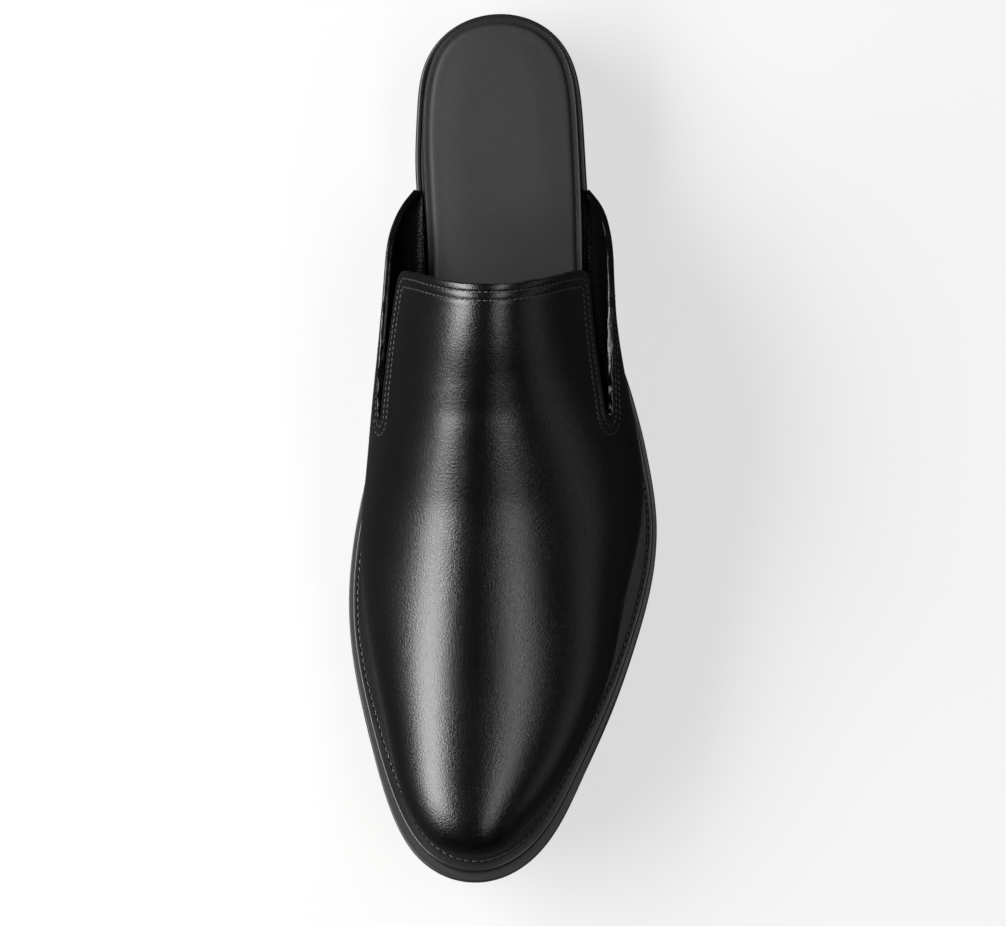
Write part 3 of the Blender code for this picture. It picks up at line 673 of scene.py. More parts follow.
class Nodes:
    """Adds nodes to one tree, all through one method."""

    def __init__(self, tree: bpy.types.NodeTree) -> None:
        """Keep the tree."""
        self.tree = tree

    def add(
        self,
        kind: str,
        settings: Mapping[str, object] | None = None,
        inputs: Mapping[str | int, object] | None = None,
    ) -> bpy.types.Node:
        """Add a node.

        Args:
            kind: Type of the node.
            settings: Its own settings, set first.
            inputs: Values or links of its sockets, by name or number.

        Returns:
            The node.
        """
        node = self.tree.nodes.new(kind)
        for name, value in (settings or {}).items():
            setattr(node, name, value)
        for key, value in (inputs or {}).items():
            if isinstance(value, Value):
                self.tree.links.new(value.socket, node.inputs[key])
            else:
                node.inputs[key].default_value = value
        return node

    def value(
        self,
        kind: str,
        settings: Mapping[str, object] | None = None,
        inputs: Mapping[str | int, object] | None = None,
        output: str | int = 0,
    ) -> Value:
        """Add a node and take one of its outputs."""
        return Value(self, self.add(kind, settings, inputs).outputs[output])

    def maths(self, operation: str, *parts: Value | float) -> Value:
        """Result of a Math node."""
        return self.value("ShaderNodeMath", {"operation": operation}, dict(enumerate(parts)))

    def vectors(self, operation: str, *parts: Value | Place) -> Value:
        """Result of a Vector Math node."""
        settings = {"operation": operation}
        return self.value("ShaderNodeVectorMath", settings, dict(enumerate(parts)))

    def place(self) -> Value:
        """Place on the object, in metres."""
        return self.value("ShaderNodeTexCoord", None, None, "Object")

    def strip(self) -> Value:
        """Distance along a piece and up its edge, in metres."""
        return self.value("ShaderNodeAttribute", {"attribute_name": "strip"}, None, "Vector")

    def seen(self) -> Value:
        """One for the camera's own rays, and nothing for mirrored and bounced ones."""
        return self.value("ShaderNodeLightPath", None, None, "Is Camera Ray")

    def scaled(self, place: Value, scale: Place) -> Value:
        """Place stretched by a factor on each axis."""
        return self.vectors("MULTIPLY", place, scale)

    def noise(self, place: Value, scale: float, detail: float = 2.0, rough: float = 0.5) -> Value:
        """Soft noise between 0 and 1."""
        inputs = {"Vector": place, "Scale": scale, "Detail": detail, "Roughness": rough}
        return self.value("ShaderNodeTexNoise", None, inputs, "Fac")

    def warped(self, place: Value, scale: float, reach: float) -> Value:
        """Place pushed about by noise of a scale, so that cells become uneven."""
        inputs = {"Vector": place, "Scale": scale, "Detail": 1.0}
        colour = self.value("ShaderNodeTexNoise", None, inputs, "Color")
        middle = self.vectors("SUBTRACT", colour, (0.5, 0.5, 0.5))
        return self.vectors("ADD", place, self.scaled(middle, (reach, reach, reach)))

    def cells(self, place: Value, size: float) -> Value:
        """Pebbles of a size: high in the middle, low in the lines between them."""
        settings = {"feature": "DISTANCE_TO_EDGE"}
        inputs = {"Vector": place, "Scale": 1.0 / size, "Randomness": 1.0}
        edge = self.value("ShaderNodeTexVoronoi", settings, inputs, "Distance")
        return self.value("ShaderNodeMapRange", {"interpolation_type": "SMOOTHSTEP"},
                          {"Value": edge, "From Min": 0.0, "From Max": 0.32})

    def blend(self, share: Value, first: Sequence[float], second: Sequence[float]) -> Value:
        """Mix of two colours."""
        inputs = {"Factor": share, 6: (*first, 1.0), 7: (*second, 1.0)}
        return self.value("ShaderNodeMix", {"data_type": "RGBA"}, inputs, 2)

    def bump(self, height: Value, depth: float) -> Value:
        """Normal bent by a height of a depth in metres."""
        inputs = {"Height": height, "Distance": depth, "Strength": 1.0}
        return self.value("ShaderNodeBump", None, inputs)


def new_material(name: str) -> tuple[bpy.types.Material, Nodes]:
    """Make an empty material.

    Args:
        name: Name of the material.

    Returns:
        The material and the helper that fills its tree.
    """
    material = bpy.data.materials.new(name)
    material.use_nodes = True
    material.node_tree.nodes.clear()
    return material, Nodes(material.node_tree)


def close_material(nodes: Nodes, inputs: Mapping[str, object]) -> None:
    """End a tree with a Principled shader and the output."""
    shader = nodes.value("ShaderNodeBsdfPrincipled", None, inputs)
    nodes.add("ShaderNodeOutputMaterial", None, {"Surface": shader})


@dataclass(frozen=True)
class LeatherFinish:
    """Leather with a pebbled grain, uneven in gloss and tone."""

    name: str
    colour: Colour
    worn: Colour
    roughness: float
    coat: float = 0.0
    coat_roughness: float = 0.15
    cell: float = 0.0009
    relief: float = 0.00002
    sheen: float = 0.0
    gloss_range: float = 0.10

    def material(self) -> bpy.types.Material:
        """Build the material."""
        material, nodes = new_material(self.name)
        place = nodes.place()
        uneven = nodes.warped(place, 0.45 / self.cell, self.cell * 1.1)
        pebbles = nodes.cells(uneven, self.cell)
        small = nodes.cells(nodes.warped(place, 1.1 / self.cell, self.cell * 0.5), self.cell * 0.45)
        pores = nodes.noise(place, 2.6 / self.cell, 3.0, 0.6)
        height = pebbles * 0.62 + small * 0.22 + pores * 0.10
        broad = nodes.noise(place, 38.0, 3.0, 0.55)
        fine = nodes.noise(place, 0.20 / self.cell, 2.0, 0.6)
        tone = (broad * 0.6 + fine * 0.4 - 0.38) * 2.2
        rough = (1.0 - pebbles) * 0.06 + (broad - 0.5) * self.gloss_range + self.roughness
        close_material(nodes, {
            "Base Color": nodes.blend(tone.maths("MAXIMUM", 0.0), self.colour, self.worn),
            "Roughness": rough,
            "Specular IOR Level": 0.5,
            "Coat Weight": self.coat,
            "Coat Roughness": self.coat_roughness,
            "Sheen Weight": self.sheen,
            "Sheen Roughness": 0.4,
            "Normal": nodes.bump(height, self.relief),
        })
        return material


@dataclass(frozen=True)
class EdgeFinish:
    """Inked or moulded edge with fine lines along it, from the strip coordinates of the piece."""

    name: str
    colour: Colour
    worn: Colour
    roughness: float
    line_size: float = 0.00028
    relief: float = 0.000012
    gloss_range: float = 0.16

    def material(self) -> bpy.types.Material:
        """Build the material."""
        material, nodes = new_material(self.name)
        strip = nodes.strip()
        place = nodes.place()
        stretched = nodes.scaled(strip, (55.0, 1.0 / self.line_size, 1.0))
        lines = nodes.noise(stretched, 1.0, 4.0, 0.65)
        smears = nodes.noise(nodes.scaled(strip, (34.0, 420.0, 1.0)), 1.0, 2.0, 0.5)
        specks = nodes.noise(place, 5200.0, 2.0, 0.6)
        tone = (smears * 0.65 + lines * 0.35 - 0.36) * 2.0
        rough = (smears - 0.5) * self.gloss_range + (lines - 0.5) * 0.12 + self.roughness
        close_material(nodes, {
            "Base Color": nodes.blend(tone.maths("MAXIMUM", 0.0), self.colour, self.worn),
            "Roughness": rough,
            "Specular IOR Level": 0.5,
            "Normal": nodes.bump(lines * 0.7 + specks * 0.5, self.relief),
        })
        return material


@dataclass(frozen=True)
class BrushedFinish:
    """Metal brushed along its strip."""

    name: str
    colour: Colour
    deep: Colour
    roughness: float = 0.34
    metallic: float = 0.75
    anisotropy: float = 0.45
    relief: float = 0.000006

    def material(self) -> bpy.types.Material:
        """Build the material."""
        material, nodes = new_material(self.name)
        strip = nodes.strip()
        lines = nodes.noise(nodes.scaled(strip, (260.0, 16000.0, 1.0)), 1.0, 4.0, 0.7)
        broad = nodes.noise(nodes.scaled(strip, (60.0, 900.0, 1.0)), 1.0, 2.0, 0.5)
        tone = (lines * 0.55 + broad * 0.45 - 0.3) * 1.9
        close_material(nodes, {
            "Base Color": nodes.blend(tone.maths("MAXIMUM", 0.0), self.deep, self.colour),
            "Roughness": (lines - 0.5) * 0.22 + (broad - 0.5) * 0.12 + self.roughness,
            "Metallic": self.metallic,
            "Anisotropic": self.anisotropy,
            "Normal": nodes.bump(lines, self.relief),
        })
        return material


@dataclass(frozen=True)
class ThreadFinish:
    """Waxed black thread with a fine twist."""

    name: str
    colour: Colour
    roughness: float = 0.36
    twist: float = 1500.0
    relief: float = 0.00004

    def material(self) -> bpy.types.Material:
        """Build the material."""
        material, nodes = new_material(self.name)
        place = nodes.place()
        settings = {"wave_type": "BANDS", "bands_direction": "DIAGONAL"}
        inputs = {"Vector": place, "Scale": self.twist}
        twist = nodes.value("ShaderNodeTexWave", settings, inputs, "Fac")
        fibre = nodes.noise(place, 4200.0)
        close_material(nodes, {
            "Base Color": nodes.blend(fibre, self.colour, tuple(2.0 * c for c in self.colour)),
            "Roughness": (fibre - 0.5) * 0.2 + self.roughness,
            "Normal": nodes.bump(twist * 0.6 + fibre * 0.4, self.relief),
        })
        return material


@dataclass(frozen=True)
class PaperFinish:
    """Plain pale studio floor."""

    name: str
    colour: Colour
    mirrored: Colour
    glow: float

    def material(self) -> bpy.types.Material:
        """Build the material."""
        material, nodes = new_material(self.name)
        place = nodes.place()
        soft = nodes.noise(place, 3.0)
        darker = tuple(0.995 * c for c in self.colour)
        plain = nodes.value("ShaderNodeBsdfDiffuse", None,
                            {"Color": nodes.blend(soft, darker, self.colour)})
        glow = nodes.value("ShaderNodeEmission", None,
                           {"Color": (1.0, 1.0, 0.995, 1.0), "Strength": self.glow})
        lifted = nodes.value("ShaderNodeAddShader", None, {0: plain, 1: glow})
        dim = nodes.value("ShaderNodeBsdfDiffuse", None, {"Color": (*self.mirrored, 1.0)})
        mixed = nodes.value("ShaderNodeMixShader", None, {0: nodes.seen(), 1: dim, 2: lifted})
        nodes.add("ShaderNodeOutputMaterial", None, {"Surface": mixed})
        return material


def grey(shade: float) -> Colour:
    """Colour with no tint."""
    return (shade, shade, shade)


class Finish(Enum):
    """Every finish of the shoe and of the studio."""

    UPPER = LeatherFinish("calf", grey(0.0008), grey(0.0016), 0.215, relief=0.000032)
    LINING = LeatherFinish("calf_lining", grey(0.006), grey(0.011), 0.62, cell=0.0006)
    SOCK = LeatherFinish(
        "sock_lining", (0.0060, 0.0060, 0.0061), (0.0110, 0.0110, 0.0111), 0.62, cell=0.00055,
        relief=0.00003, sheen=0.03)
    WRAPPED = LeatherFinish(
        "wrapped_rim", (0.0055, 0.0055, 0.0056), grey(0.011), 0.36, coat=0.15, cell=0.0007)
    WELT = EdgeFinish("welt_strip", grey(0.0070), grey(0.0150), 0.36)
    SOLE = EdgeFinish("sole_band", (0.0130, 0.0130, 0.0127), (0.0240, 0.0240, 0.0233), 0.44)
    LIFT_ONE = EdgeFinish("lift_edge_1", grey(0.0130), (0.0240, 0.0240, 0.0238), 0.40)
    LIFT_TWO = EdgeFinish("lift_edge_2", grey(0.0085), grey(0.0150), 0.46)
    LIFT_THREE = EdgeFinish("lift_edge_3", grey(0.0120), (0.0225, 0.0225, 0.0222), 0.38)
    RUBBER = EdgeFinish(
        "top_piece_rubber", (0.0095, 0.0095, 0.0094), (0.0140, 0.0140, 0.0138), 0.56,
        relief=0.00002)
    GOLD = BrushedFinish("gold_strip", (0.98, 0.70, 0.31), (0.78, 0.52, 0.20))
    THREAD = ThreadFinish("black_thread", grey(0.022), 0.30)
    FLOOR = PaperFinish("studio_paper", (0.22, 0.22, 0.219), grey(0.05), 0.62)

    def material(self) -> bpy.types.Material:
        """Material of this finish, made once."""
        return bpy.data.materials.get(self.value.name) or self.value.material()


def face_out(mesh: bpy.types.Mesh, join: float = 0.0) -> None:
    """Point a closed mesh's faces out, with points nearer than a distance made one before."""
    work = bmesh.new()
    work.from_mesh(mesh)
    if join > 0.0:
        bmesh.ops.remove_doubles(work, verts=work.verts, dist=join)
    bmesh.ops.recalc_face_normals(work, faces=work.faces)
    work.to_mesh(mesh)
    work.free()


class Patchwork:
    """Gathers grids of points and joins those that touch into one mesh."""

    def __init__(self) -> None:
        """Start with nothing."""
        self.points: list[Array] = []
        self.strips: list[Array] = []
        self.faces: list[list[int]] = []
        self.count = 0

    def grid(self, lines: Array, strip: Array | None = None) -> None:
        """Add the faces between each line of points and the next.

        Args:
            lines: Points as lines, columns and coordinates.
            strip: Distance along the piece and up its edge for each point.
        """
        rows, columns = lines.shape[:2]
        numbers = np.arange(rows * columns).reshape(rows, columns) + self.count
        quads = np.stack([numbers[:-1, :-1], numbers[:-1, 1:], numbers[1:, 1:], numbers[1:, :-1]],
                         axis=-1).reshape(-1, 4)
        self.points.append(lines.reshape(-1, 3))
        strip = np.zeros_like(lines) if strip is None else strip
        self.strips.append(strip.reshape(-1, 3))
        self.faces += quads.tolist()
        self.count += rows * columns

    def tube(self, lines: Array, strip: Array) -> None:
        """Add the faces of a tube, whose lines of points each run back to their start."""
        self.grid(np.concatenate([lines, lines[:, :1]], axis=1),
                  np.concatenate([strip, strip[:, -1:]], axis=1))

    def cap(self, loop: Array) -> None:
        """Add one flat face over a loop of points."""
        self.faces.append(list(range(self.count, self.count + len(loop))))
        self.points.append(loop)
        self.strips.append(loop)
        self.count += len(loop)

    def mesh(self, name: str, join: float = 2e-6) -> bpy.types.Mesh:
        """Make the mesh, closed and with its faces pointing out.

        Args:
            name: Name of the mesh.
            join: Points nearer than this are one point.

        Returns:
            The mesh.
        """
        mesh = bpy.data.meshes.new(name)
        mesh.from_pydata(np.concatenate(self.points).tolist(), [], self.faces)
        strip = mesh.attributes.new("strip", "FLOAT_VECTOR", "POINT")
        strip.data.foreach_set("vector", np.concatenate(self.strips).astype(np.float32).ravel())
        face_out(mesh, join)
        return mesh


@dataclass
class Bench:
    """Where finished pieces are put into the model's frame."""

    offset: Vector
    made: list[str] = field(default_factory=list)

    def piece(
        self,
        mesh: bpy.types.Mesh,
        name: str,
        finishes: Sequence[Finish],
        slot: str,
        nodes: Sequence[str] = (),
        sharp: float = 40.0,
    ) -> bpy.types.Object:
        """Make a piece of the shoe from its mesh.

        Args:
            mesh: The mesh in the shoe's own frame.
            name: Name of the piece.
            finishes: Finish of each material slot.
            slot: The record's slot; not used.
            nodes: Solids that it stands for.
            sharp: Angle in degrees over which an edge is sharp.

        Returns:
            The object.
        """
        mesh.transform(Matrix.Translation(self.offset))
        mesh.shade_smooth()
        mesh.set_sharp_from_angle(angle=math.radians(sharp))
        mesh.materials.clear()
        for finish in finishes:
            mesh.materials.append(finish.material())
        piece = bpy.data.objects.new(name, mesh)
        bpy.context.scene.collection.objects.link(piece)
        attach(piece, "root")
        if nodes:
            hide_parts(*nodes)
        self.made.append(name)
        LOG.info("%s: %d faces", name, len(mesh.polygons))
        return piece


@dataclass
class Layer:
    """A piece that follows an outline, drawn by a profile of insets and depths."""

    name: str
    node: str
    slot: str
    outline: Outline
    level: Depth
    finish: Finish
    stations: int = 150
    columns: int = 10

    def profile(self, turn: Array) -> Corners:
        """Insets and depths of the corners, from the lower outer one round."""
        raise NotImplementedError

    def turns(self) -> Array:
        """Shares of the half turn at which the profile is drawn."""
        return np.linspace(0.0, 1.0, self.stations + 1)

    def rails(self, turn: Array, side: Side) -> tuple[Array, Array]:
        """Points of each corner along one side.

        Args:
            turn: Shares of the half turn.
            side: Half of the shoe.

        Returns:
            Points and strip coordinates, as stations, corners and coordinates.
        """
        points = []
        for inset, depth in self.profile(turn):
            distance, across = self.outline.point(turn, side, inset)
            base = LINE.base_under(distance, self.level)
            points.append(LINE.stacked(base, across, depth(base)))
        lines = np.stack(points, axis=1)
        distance, across = self.outline.point(turn, side, 0.0)
        run = np.concatenate([[0.0], np.cumsum(np.hypot(np.diff(distance), np.diff(across)))])
        rise = np.linalg.norm(np.diff(lines, axis=1), axis=2)
        rise = np.concatenate([np.zeros((len(lines), 1)), np.cumsum(rise, axis=1)], axis=1)
        run = np.broadcast_to(run[:, None] * side.value, rise.shape)
        return lines, np.stack([run, rise, np.zeros_like(rise)], axis=2)

    def plate(self) -> bpy.types.Mesh:
        """Mesh between two caps."""
        work = Patchwork()
        turn = self.turns()
        sides = [self.rails(turn, side) for side in Side]
        for lines, strip in sides:
            work.grid(lines, strip)
        share = np.linspace(0.0, 1.0, self.columns + 1)[None, :, None]
        for corner in (0, -1):
            first, second = (lines[:, None, corner] for lines, _ in sides)
            across = first + (second - first) * share
            work.grid(across, across)
        return work.mesh(self.name)

    def ring(self, ended: bool = False) -> bpy.types.Mesh:
        """Mesh of a ring, or of a strip round the toe whose two ends are flat."""
        work = Patchwork()
        for side in Side:
            lines, strip = self.rails(self.turns(), side)
            work.tube(lines, strip)
            if ended:
                work.cap(lines[0])
        return work.mesh(self.name)

    def mesh(self) -> bpy.types.Mesh:
        """Mesh of the piece, a plate unless its class says otherwise."""
        return self.plate()

    def build(self, bench: Bench) -> bpy.types.Object:
        """Make the piece."""
        return bench.piece(self.mesh(), self.name, [self.finish], self.slot, [self.node])


def rounded(inset: float, low: Depth, high: Depth, radius: float, steps: int = 4) -> Corners:
    """Corners of a band whose two edges are rounded.

    Args:
        inset: How far in the band's face lies.
        low: Depth of its lower edge.
        high: Depth of its upper edge.
        radius: Radius of both edges.
        steps: Steps in each rounding.

    Returns:
        Insets and depths from the lower edge to the upper one.
    """
    corners = []
    for k in range(steps + 1):
        angle = math.pi / 2.0 * k / steps
        corners.append((inset + radius * (1.0 - math.sin(angle)),
                        over(low, radius * (1.0 - math.cos(angle)))))
    for k in range(steps + 1):
        angle = math.pi / 2.0 * (1.0 - k / steps)
        corners.append((inset + radius * (1.0 - math.sin(angle)),
                        over(high, -radius * (1.0 - math.cos(angle)))))
    return corners


def toe_lean(outline: Outline, turn: Array, share: float) -> Array:
    """Inset of the lower band's face, below zero where it leans out at the toe.

    Args:
        outline: Outline of the sole.
        turn: Shares of the half turn.
        share: Share of the lower band's depth.

    Returns:
        The inset at each share of the half turn.
    """
    along = outline.distance_at(turn) / LENGTH
    return -TOE_FLARE * eased(along, TOE_FLARE_ALONG) * share


@dataclass
class Outsole(Layer):
    """Outsole of two bands, with a rebate for the toe plate."""

    edge_round: float = 0.0005
    band_groove: float = 0.00042
    middle_inset: float = 0.0110
    plate_lip: float = 0.0006
    plate_height: float = 0.0027
    plate_depth: float = 0.0015
    rebate_step: float = 0.0001
    rebate_clear: float = 0.002

    @property
    def plate_full(self) -> float:
        """Depth of the lower band, which holds the plate."""
        return self.plate_lip + self.plate_height + 2.0 * GAP

    def turns(self) -> Array:
        """Stations, with a pair at each end of the rebate."""
        end = sole_turn(PLATE_ALONG)
        pause = sole_turn(PLATE_ALONG - self.rebate_step / LENGTH)
        turns = np.linspace(0.0, 1.0, self.stations + 1)
        turns = turns[np.abs(turns - end) > self.rebate_clear]
        return np.sort(np.concatenate([turns, [pause, end]]))

    def band_depth(self, full: float) -> Depth:
        """Depth that runs lower where the sole is thin."""
        return lambda distance: full * LINE.fullness(distance)

    def profile(self, turn: Array) -> Corners:
        """Lower band with its rebate, groove, upper band and the raised middle."""
        limit = sole_turn(PLATE_ALONG) - 1e-9
        rebate = np.where(turn >= limit, self.plate_depth, 0.0)
        plate_top = self.band_depth(self.plate_full)
        edge = self.edge_round
        groove = self.band_groove
        lip = toe_lean(self.outline, turn, self.plate_lip / self.plate_full)
        band = toe_lean(self.outline, turn, 1.0)
        lower = [
            (2.4 * edge, fixed(0.0)),
            (1.1 * edge, fixed(0.00002)),
            (0.55 * edge, fixed(0.18 * edge)),
            (0.16 * edge, fixed(0.52 * edge)),
            (toe_lean(self.outline, turn, edge / self.plate_full), fixed(edge)),
            (lip, fixed(self.plate_lip)),
            (lip + rebate, fixed(self.plate_lip)),
            (band + rebate, plate_top),
            (band, plate_top),
            (band + 0.25 * groove, over(plate_top, 0.20 * groove)),
            (band + groove, over(plate_top, 0.45 * groove)),
            (band + groove, over(plate_top, 0.75 * groove)),
            (band + 0.40 * groove, over(plate_top, groove)),
        ]
        base = over(plate_top, 1.15 * groove)
        corners = rounded(0.15 * groove, base, LINE.outsole_top, 0.6 * edge, 3)
        upper = [(band + inset, depth) for inset, depth in corners[1:]]
        return [*lower, *upper, (self.middle_inset, LINE.outsole_top),
                (self.middle_inset, LINE.welt_top)]


@dataclass
class Welt(Layer):
    """Strip all round between outsole and upper, with a stitched channel along its top."""

    flare: float = 0.0012
    seat_overhang: float = 0.0002
    flare_along: tuple[float, float] = (0.22, 0.52)
    width: float = 0.0095
    edge_round: float = 0.0006
    channel_in: float = 0.0017
    channel_swing: float = 0.0013
    swing_along: tuple[float, float] = (0.72, 0.94)
    channel_width: float = 0.0009
    channel_depth: float = 0.00045
    channel_turn: tuple[float, float] = (0.55, 0.72)

    def outer(self, turn: Array) -> Array:
        """How far the welt stands back from the outsole's edge."""
        along = self.outline.distance_at(turn) / LENGTH
        reach = eased(along, self.flare_along)
        return self.seat_overhang + (self.flare - self.seat_overhang) * reach

    def channel_inset(self, turn: Array) -> Array:
        """Where the stitched channel runs, in from the outsole's edge."""
        along = self.outline.distance_at(turn) / LENGTH
        swing = self.channel_swing * eased(along, self.swing_along)
        return self.outer(turn) + self.channel_in + swing

    def profile(self, turn: Array) -> Corners:
        """Outer edge, top with its channel, and the inner face."""
        outer = self.outer(turn)
        inner = self.flare + self.width
        low = over(LINE.outsole_top, GAP)
        top = LINE.welt_top
        edge = self.edge_round
        half = self.channel_width / 2.0
        across, down = self.channel_turn
        middle = self.channel_inset(turn)
        corners = [(outer + inset, depth) for inset, depth in rounded(0.0, low, top, edge, 4)]
        corners += [
            (middle - half, top),
            (middle - across * half, over(top, -down * self.channel_depth)),
            (middle, over(top, -self.channel_depth)),
            (middle + across * half, over(top, -down * self.channel_depth)),
            (middle + half, top),
            (inner, top),
            (inner, low),
        ]
        return corners

    def mesh(self) -> bpy.types.Mesh:
        """Mesh of the closed ring."""
        return self.ring()


@dataclass
class Insole(Layer):
    """Board wrapped in leather, whose rounded edge shows round the seat."""

    margin: float = 0.0006
    wrap: float = 0.0009
    wrap_bend: float = 0.6
    wrap_steps: int = 10
    land: float = 0.0030

    def profile(self, turn: Array) -> Corners:
        """Rounded, wrapped edge and the flat land inside it."""
        corners = []
        for k in range(self.wrap_steps + 1):
            angle = math.pi * k / self.wrap_steps - math.pi / 2.0
            share = 0.5 + 0.5 * math.sin(angle)
            inset = self.margin + self.wrap * (1.0 - math.cos(angle) ** self.wrap_bend)
            corners.append((inset, LINE.insole_depth(share)))
        corners.append((self.margin + self.land, LINE.insole_depth(1.0)))
        return corners


@dataclass
class Sock(Layer):
    """Padded sock on the insole, from the heel to the toe."""

    margin: float = 0.0026
    tuck: float = 0.0005
    foot: float = 0.06
    soft: float = 0.00308
    edge_bend: float = 0.5
    edge_steps: int = 8
    crown: float = 0.0006
    crown_width: float = 0.0090
    crown_steps: int = 6

    def profile(self, turn: Array) -> Corners:
        """Soft edge and gentle crown."""
        top = over(LINE.insole_depth(1.0), GAP)
        corners = [(self.margin + self.tuck, top)]
        for k in range(self.edge_steps + 1):
            angle = math.pi / 2.0 * k / self.edge_steps
            inset = self.margin + self.soft * (1.0 - math.cos(angle) ** self.edge_bend)
            share = self.foot + (1.0 - self.foot) * math.sin(angle)
            corners.append((inset, over(top, SOCK_THICKNESS * share)))
        for k in range(1, self.crown_steps + 1):
            reach = k / self.crown_steps
            rise = self.crown * math.sin(math.pi / 2.0 * reach)
            inset = self.margin + self.soft + self.crown_width * reach
            corners.append((inset, over(top, SOCK_THICKNESS + rise)))
        return corners


@dataclass
class ToePlate(Layer):
    """Brushed metal strip let into the lower band round the toe."""

    stations: int = 59
    lip: float = 0.0009
    height: float = 0.0027
    thickness: float = 0.0010
    inset: float = 0.0002
    edge_round: float = 0.00018

    def turns(self) -> Array:
        """Stations from the plate's end to the tip of the toe."""
        return np.linspace(sole_turn(PLATE_ALONG + GAP / LENGTH), 1.0, self.stations + 1)

    def at(self, depth: float) -> Depth:
        """Depth on the plate, whose height follows the lower band."""
        if depth <= self.lip:
            return fixed(depth)
        return lambda distance: (depth + GAP) * LINE.fullness(distance) - GAP

    def profile(self, turn: Array) -> Corners:
        """Section of the strip with small rounded edges."""
        edge = self.edge_round
        high = self.lip + self.height
        bottom = self.inset + toe_lean(self.outline, turn, self.lip / (high + GAP))
        top = self.inset + toe_lean(self.outline, turn, high / (high + GAP))
        return [
            (bottom + self.thickness, self.at(self.lip)),
            (bottom + edge, self.at(self.lip)),
            (bottom + 0.3 * edge, over(self.at(self.lip), 0.3 * edge)),
            (bottom, over(self.at(self.lip), edge)),
            (top, over(self.at(high), -edge)),
            (top + 0.3 * edge, over(self.at(high), -0.3 * edge)),
            (top + edge, self.at(high)),
            (top + self.thickness, self.at(high)),
        ]

    def mesh(self) -> bpy.types.Mesh:
        """Mesh of the strip with its flat ends."""
        return self.ring(ended=True)


@dataclass
class Heel:
    """Three stacked lifts and the rubber top piece that stands on the ground."""

    edge_round: float = 0.00028
    breast_hollow: float = 0.0015
    back_rake: float = 0.0026
    side_rake: float = 0.0010
    seat_overhang: float = 0.0002
    side_steps: int = 70
    breast_steps: int = 24
    finishes: tuple[Finish, ...] = (Finish.LIFT_ONE, Finish.LIFT_TWO, Finish.LIFT_THREE)

    def loop(self, drop: float, inset: float) -> Array:
        """Outline at a drop below the seat, closed by the hollow breast.

        Args:
            drop: Distance below the seat.
            inset: How far in from the heel's face.

        Returns:
            Distances from the heel's back and places across.
        """
        breast = BREAST_ALONG * LENGTH
        share = drop / HEEL_HEIGHT
        turn = np.linspace(0.0, sole_turn(BREAST_ALONG), self.side_steps + 1)
        loops = {}
        for side in Side:
            whole = self.seat_overhang + inset + self.side_rake * share
            distance, across = SOLE.point(turn, side, whole)
            rake = (self.back_rake - self.side_rake) * share
            distance[-1] = breast - inset
            back = rake * (1.0 - np.minimum(distance / breast, 1.0))
            loops[side] = np.stack([distance + back, across], axis=1)
        start, end = loops[Side.LATERAL][-1], loops[Side.MEDIAL][-1]
        reach = np.linspace(0.0, 1.0, self.breast_steps + 1)[1:-1]
        hollow = self.breast_hollow * 4.0 * reach * (1.0 - reach)
        front = np.stack([start[0] - hollow, start[1] + (end[1] - start[1]) * reach], axis=1)
        return np.concatenate([loops[Side.MEDIAL][::-1], loops[Side.LATERAL][1:], front])

    def seat(self, distance: Array) -> Array:
        """Height of the heel's top, a straight line from back to breast."""
        breast = BREAST_ALONG * LENGTH
        low, high = LINE.underside(np.array([breast, 0.0]))
        return high + (low - high) * distance / breast - GAP

    def part(self, name: str, top: float, bottom: float | None) -> bpy.types.Mesh:
        """Mesh of one layer between two drops below the seat; no bottom means the ground."""
        edge = self.edge_round
        lowest = HEEL_HEIGHT if bottom is None else bottom
        rings = []
        steps = [(lowest, edge, 0.0, True), (lowest, 0.3 * edge, 0.3 * edge, True),
                 (lowest, 0.0, edge, True), (top, 0.0, -edge, False),
                 (top, 0.3 * edge, -0.3 * edge, False), (top, edge, 0.0, False)]
        for drop, inset, lift, low in steps:
            loop = self.loop(drop, inset)
            height = self.seat(loop[:, 0]) - drop + lift
            if low and bottom is None:
                height = np.full(len(loop), lift)
            ring = np.stack([loop[:, 1], -loop[:, 0], height], axis=1)
            rings.append(np.concatenate([ring, ring[:1]]))
        lines = np.stack(rings)
        run = np.linalg.norm(np.diff(lines[2], axis=0), axis=1)
        run = np.concatenate([[0.0], np.cumsum(run)])
        run = np.broadcast_to(run, lines.shape[:2])
        strip = np.stack([run, lines[:, :, 2], np.zeros_like(run)], axis=2)
        work = Patchwork()
        work.grid(lines, strip)
        work.cap(lines[0, :-1])
        work.cap(lines[-1, :-1])
        return work.mesh(name)

    def build(self, bench: Bench) -> list[bpy.types.Object]:
        """Make the four pieces."""
        pieces = []
        drop = 0.0
        for number, finish in enumerate(self.finishes, start=1):
            name = f"shoe_heel_lift_{number}"
            mesh = self.part(name, drop, drop + LIFT_THICKNESS)
            node = f"heel_lift_{number}"
            pieces.append(bench.piece(mesh, name, [finish], "stacked_heel", [node]))
            drop += LIFT_THICKNESS + GAP
        name = "shoe_heel_top_piece"
        mesh = self.part(name, drop, None)
        pieces.append(bench.piece(mesh, name, [Finish.RUBBER], "heel_rubber", ["heel_top_piece"]))
        return pieces


def even_line(points: Array, step: float) -> Array:
    """Points along a line at an even step.

    Args:
        points: Corners of the line.
        step: Wanted distance between the new points.

    Returns:
        The new points.
    """
    size = np.linalg.norm(np.diff(points, axis=0), axis=1)
    run = np.concatenate([[0.0], np.cumsum(size)])
    kept = np.concatenate([[True], size > 1e-9])
    places = np.linspace(0.0, run[-1], int(run[-1] / step) + 1)
    return np.stack([np.interp(places, run[kept], points[kept, k]) for k in range(3)], axis=1)


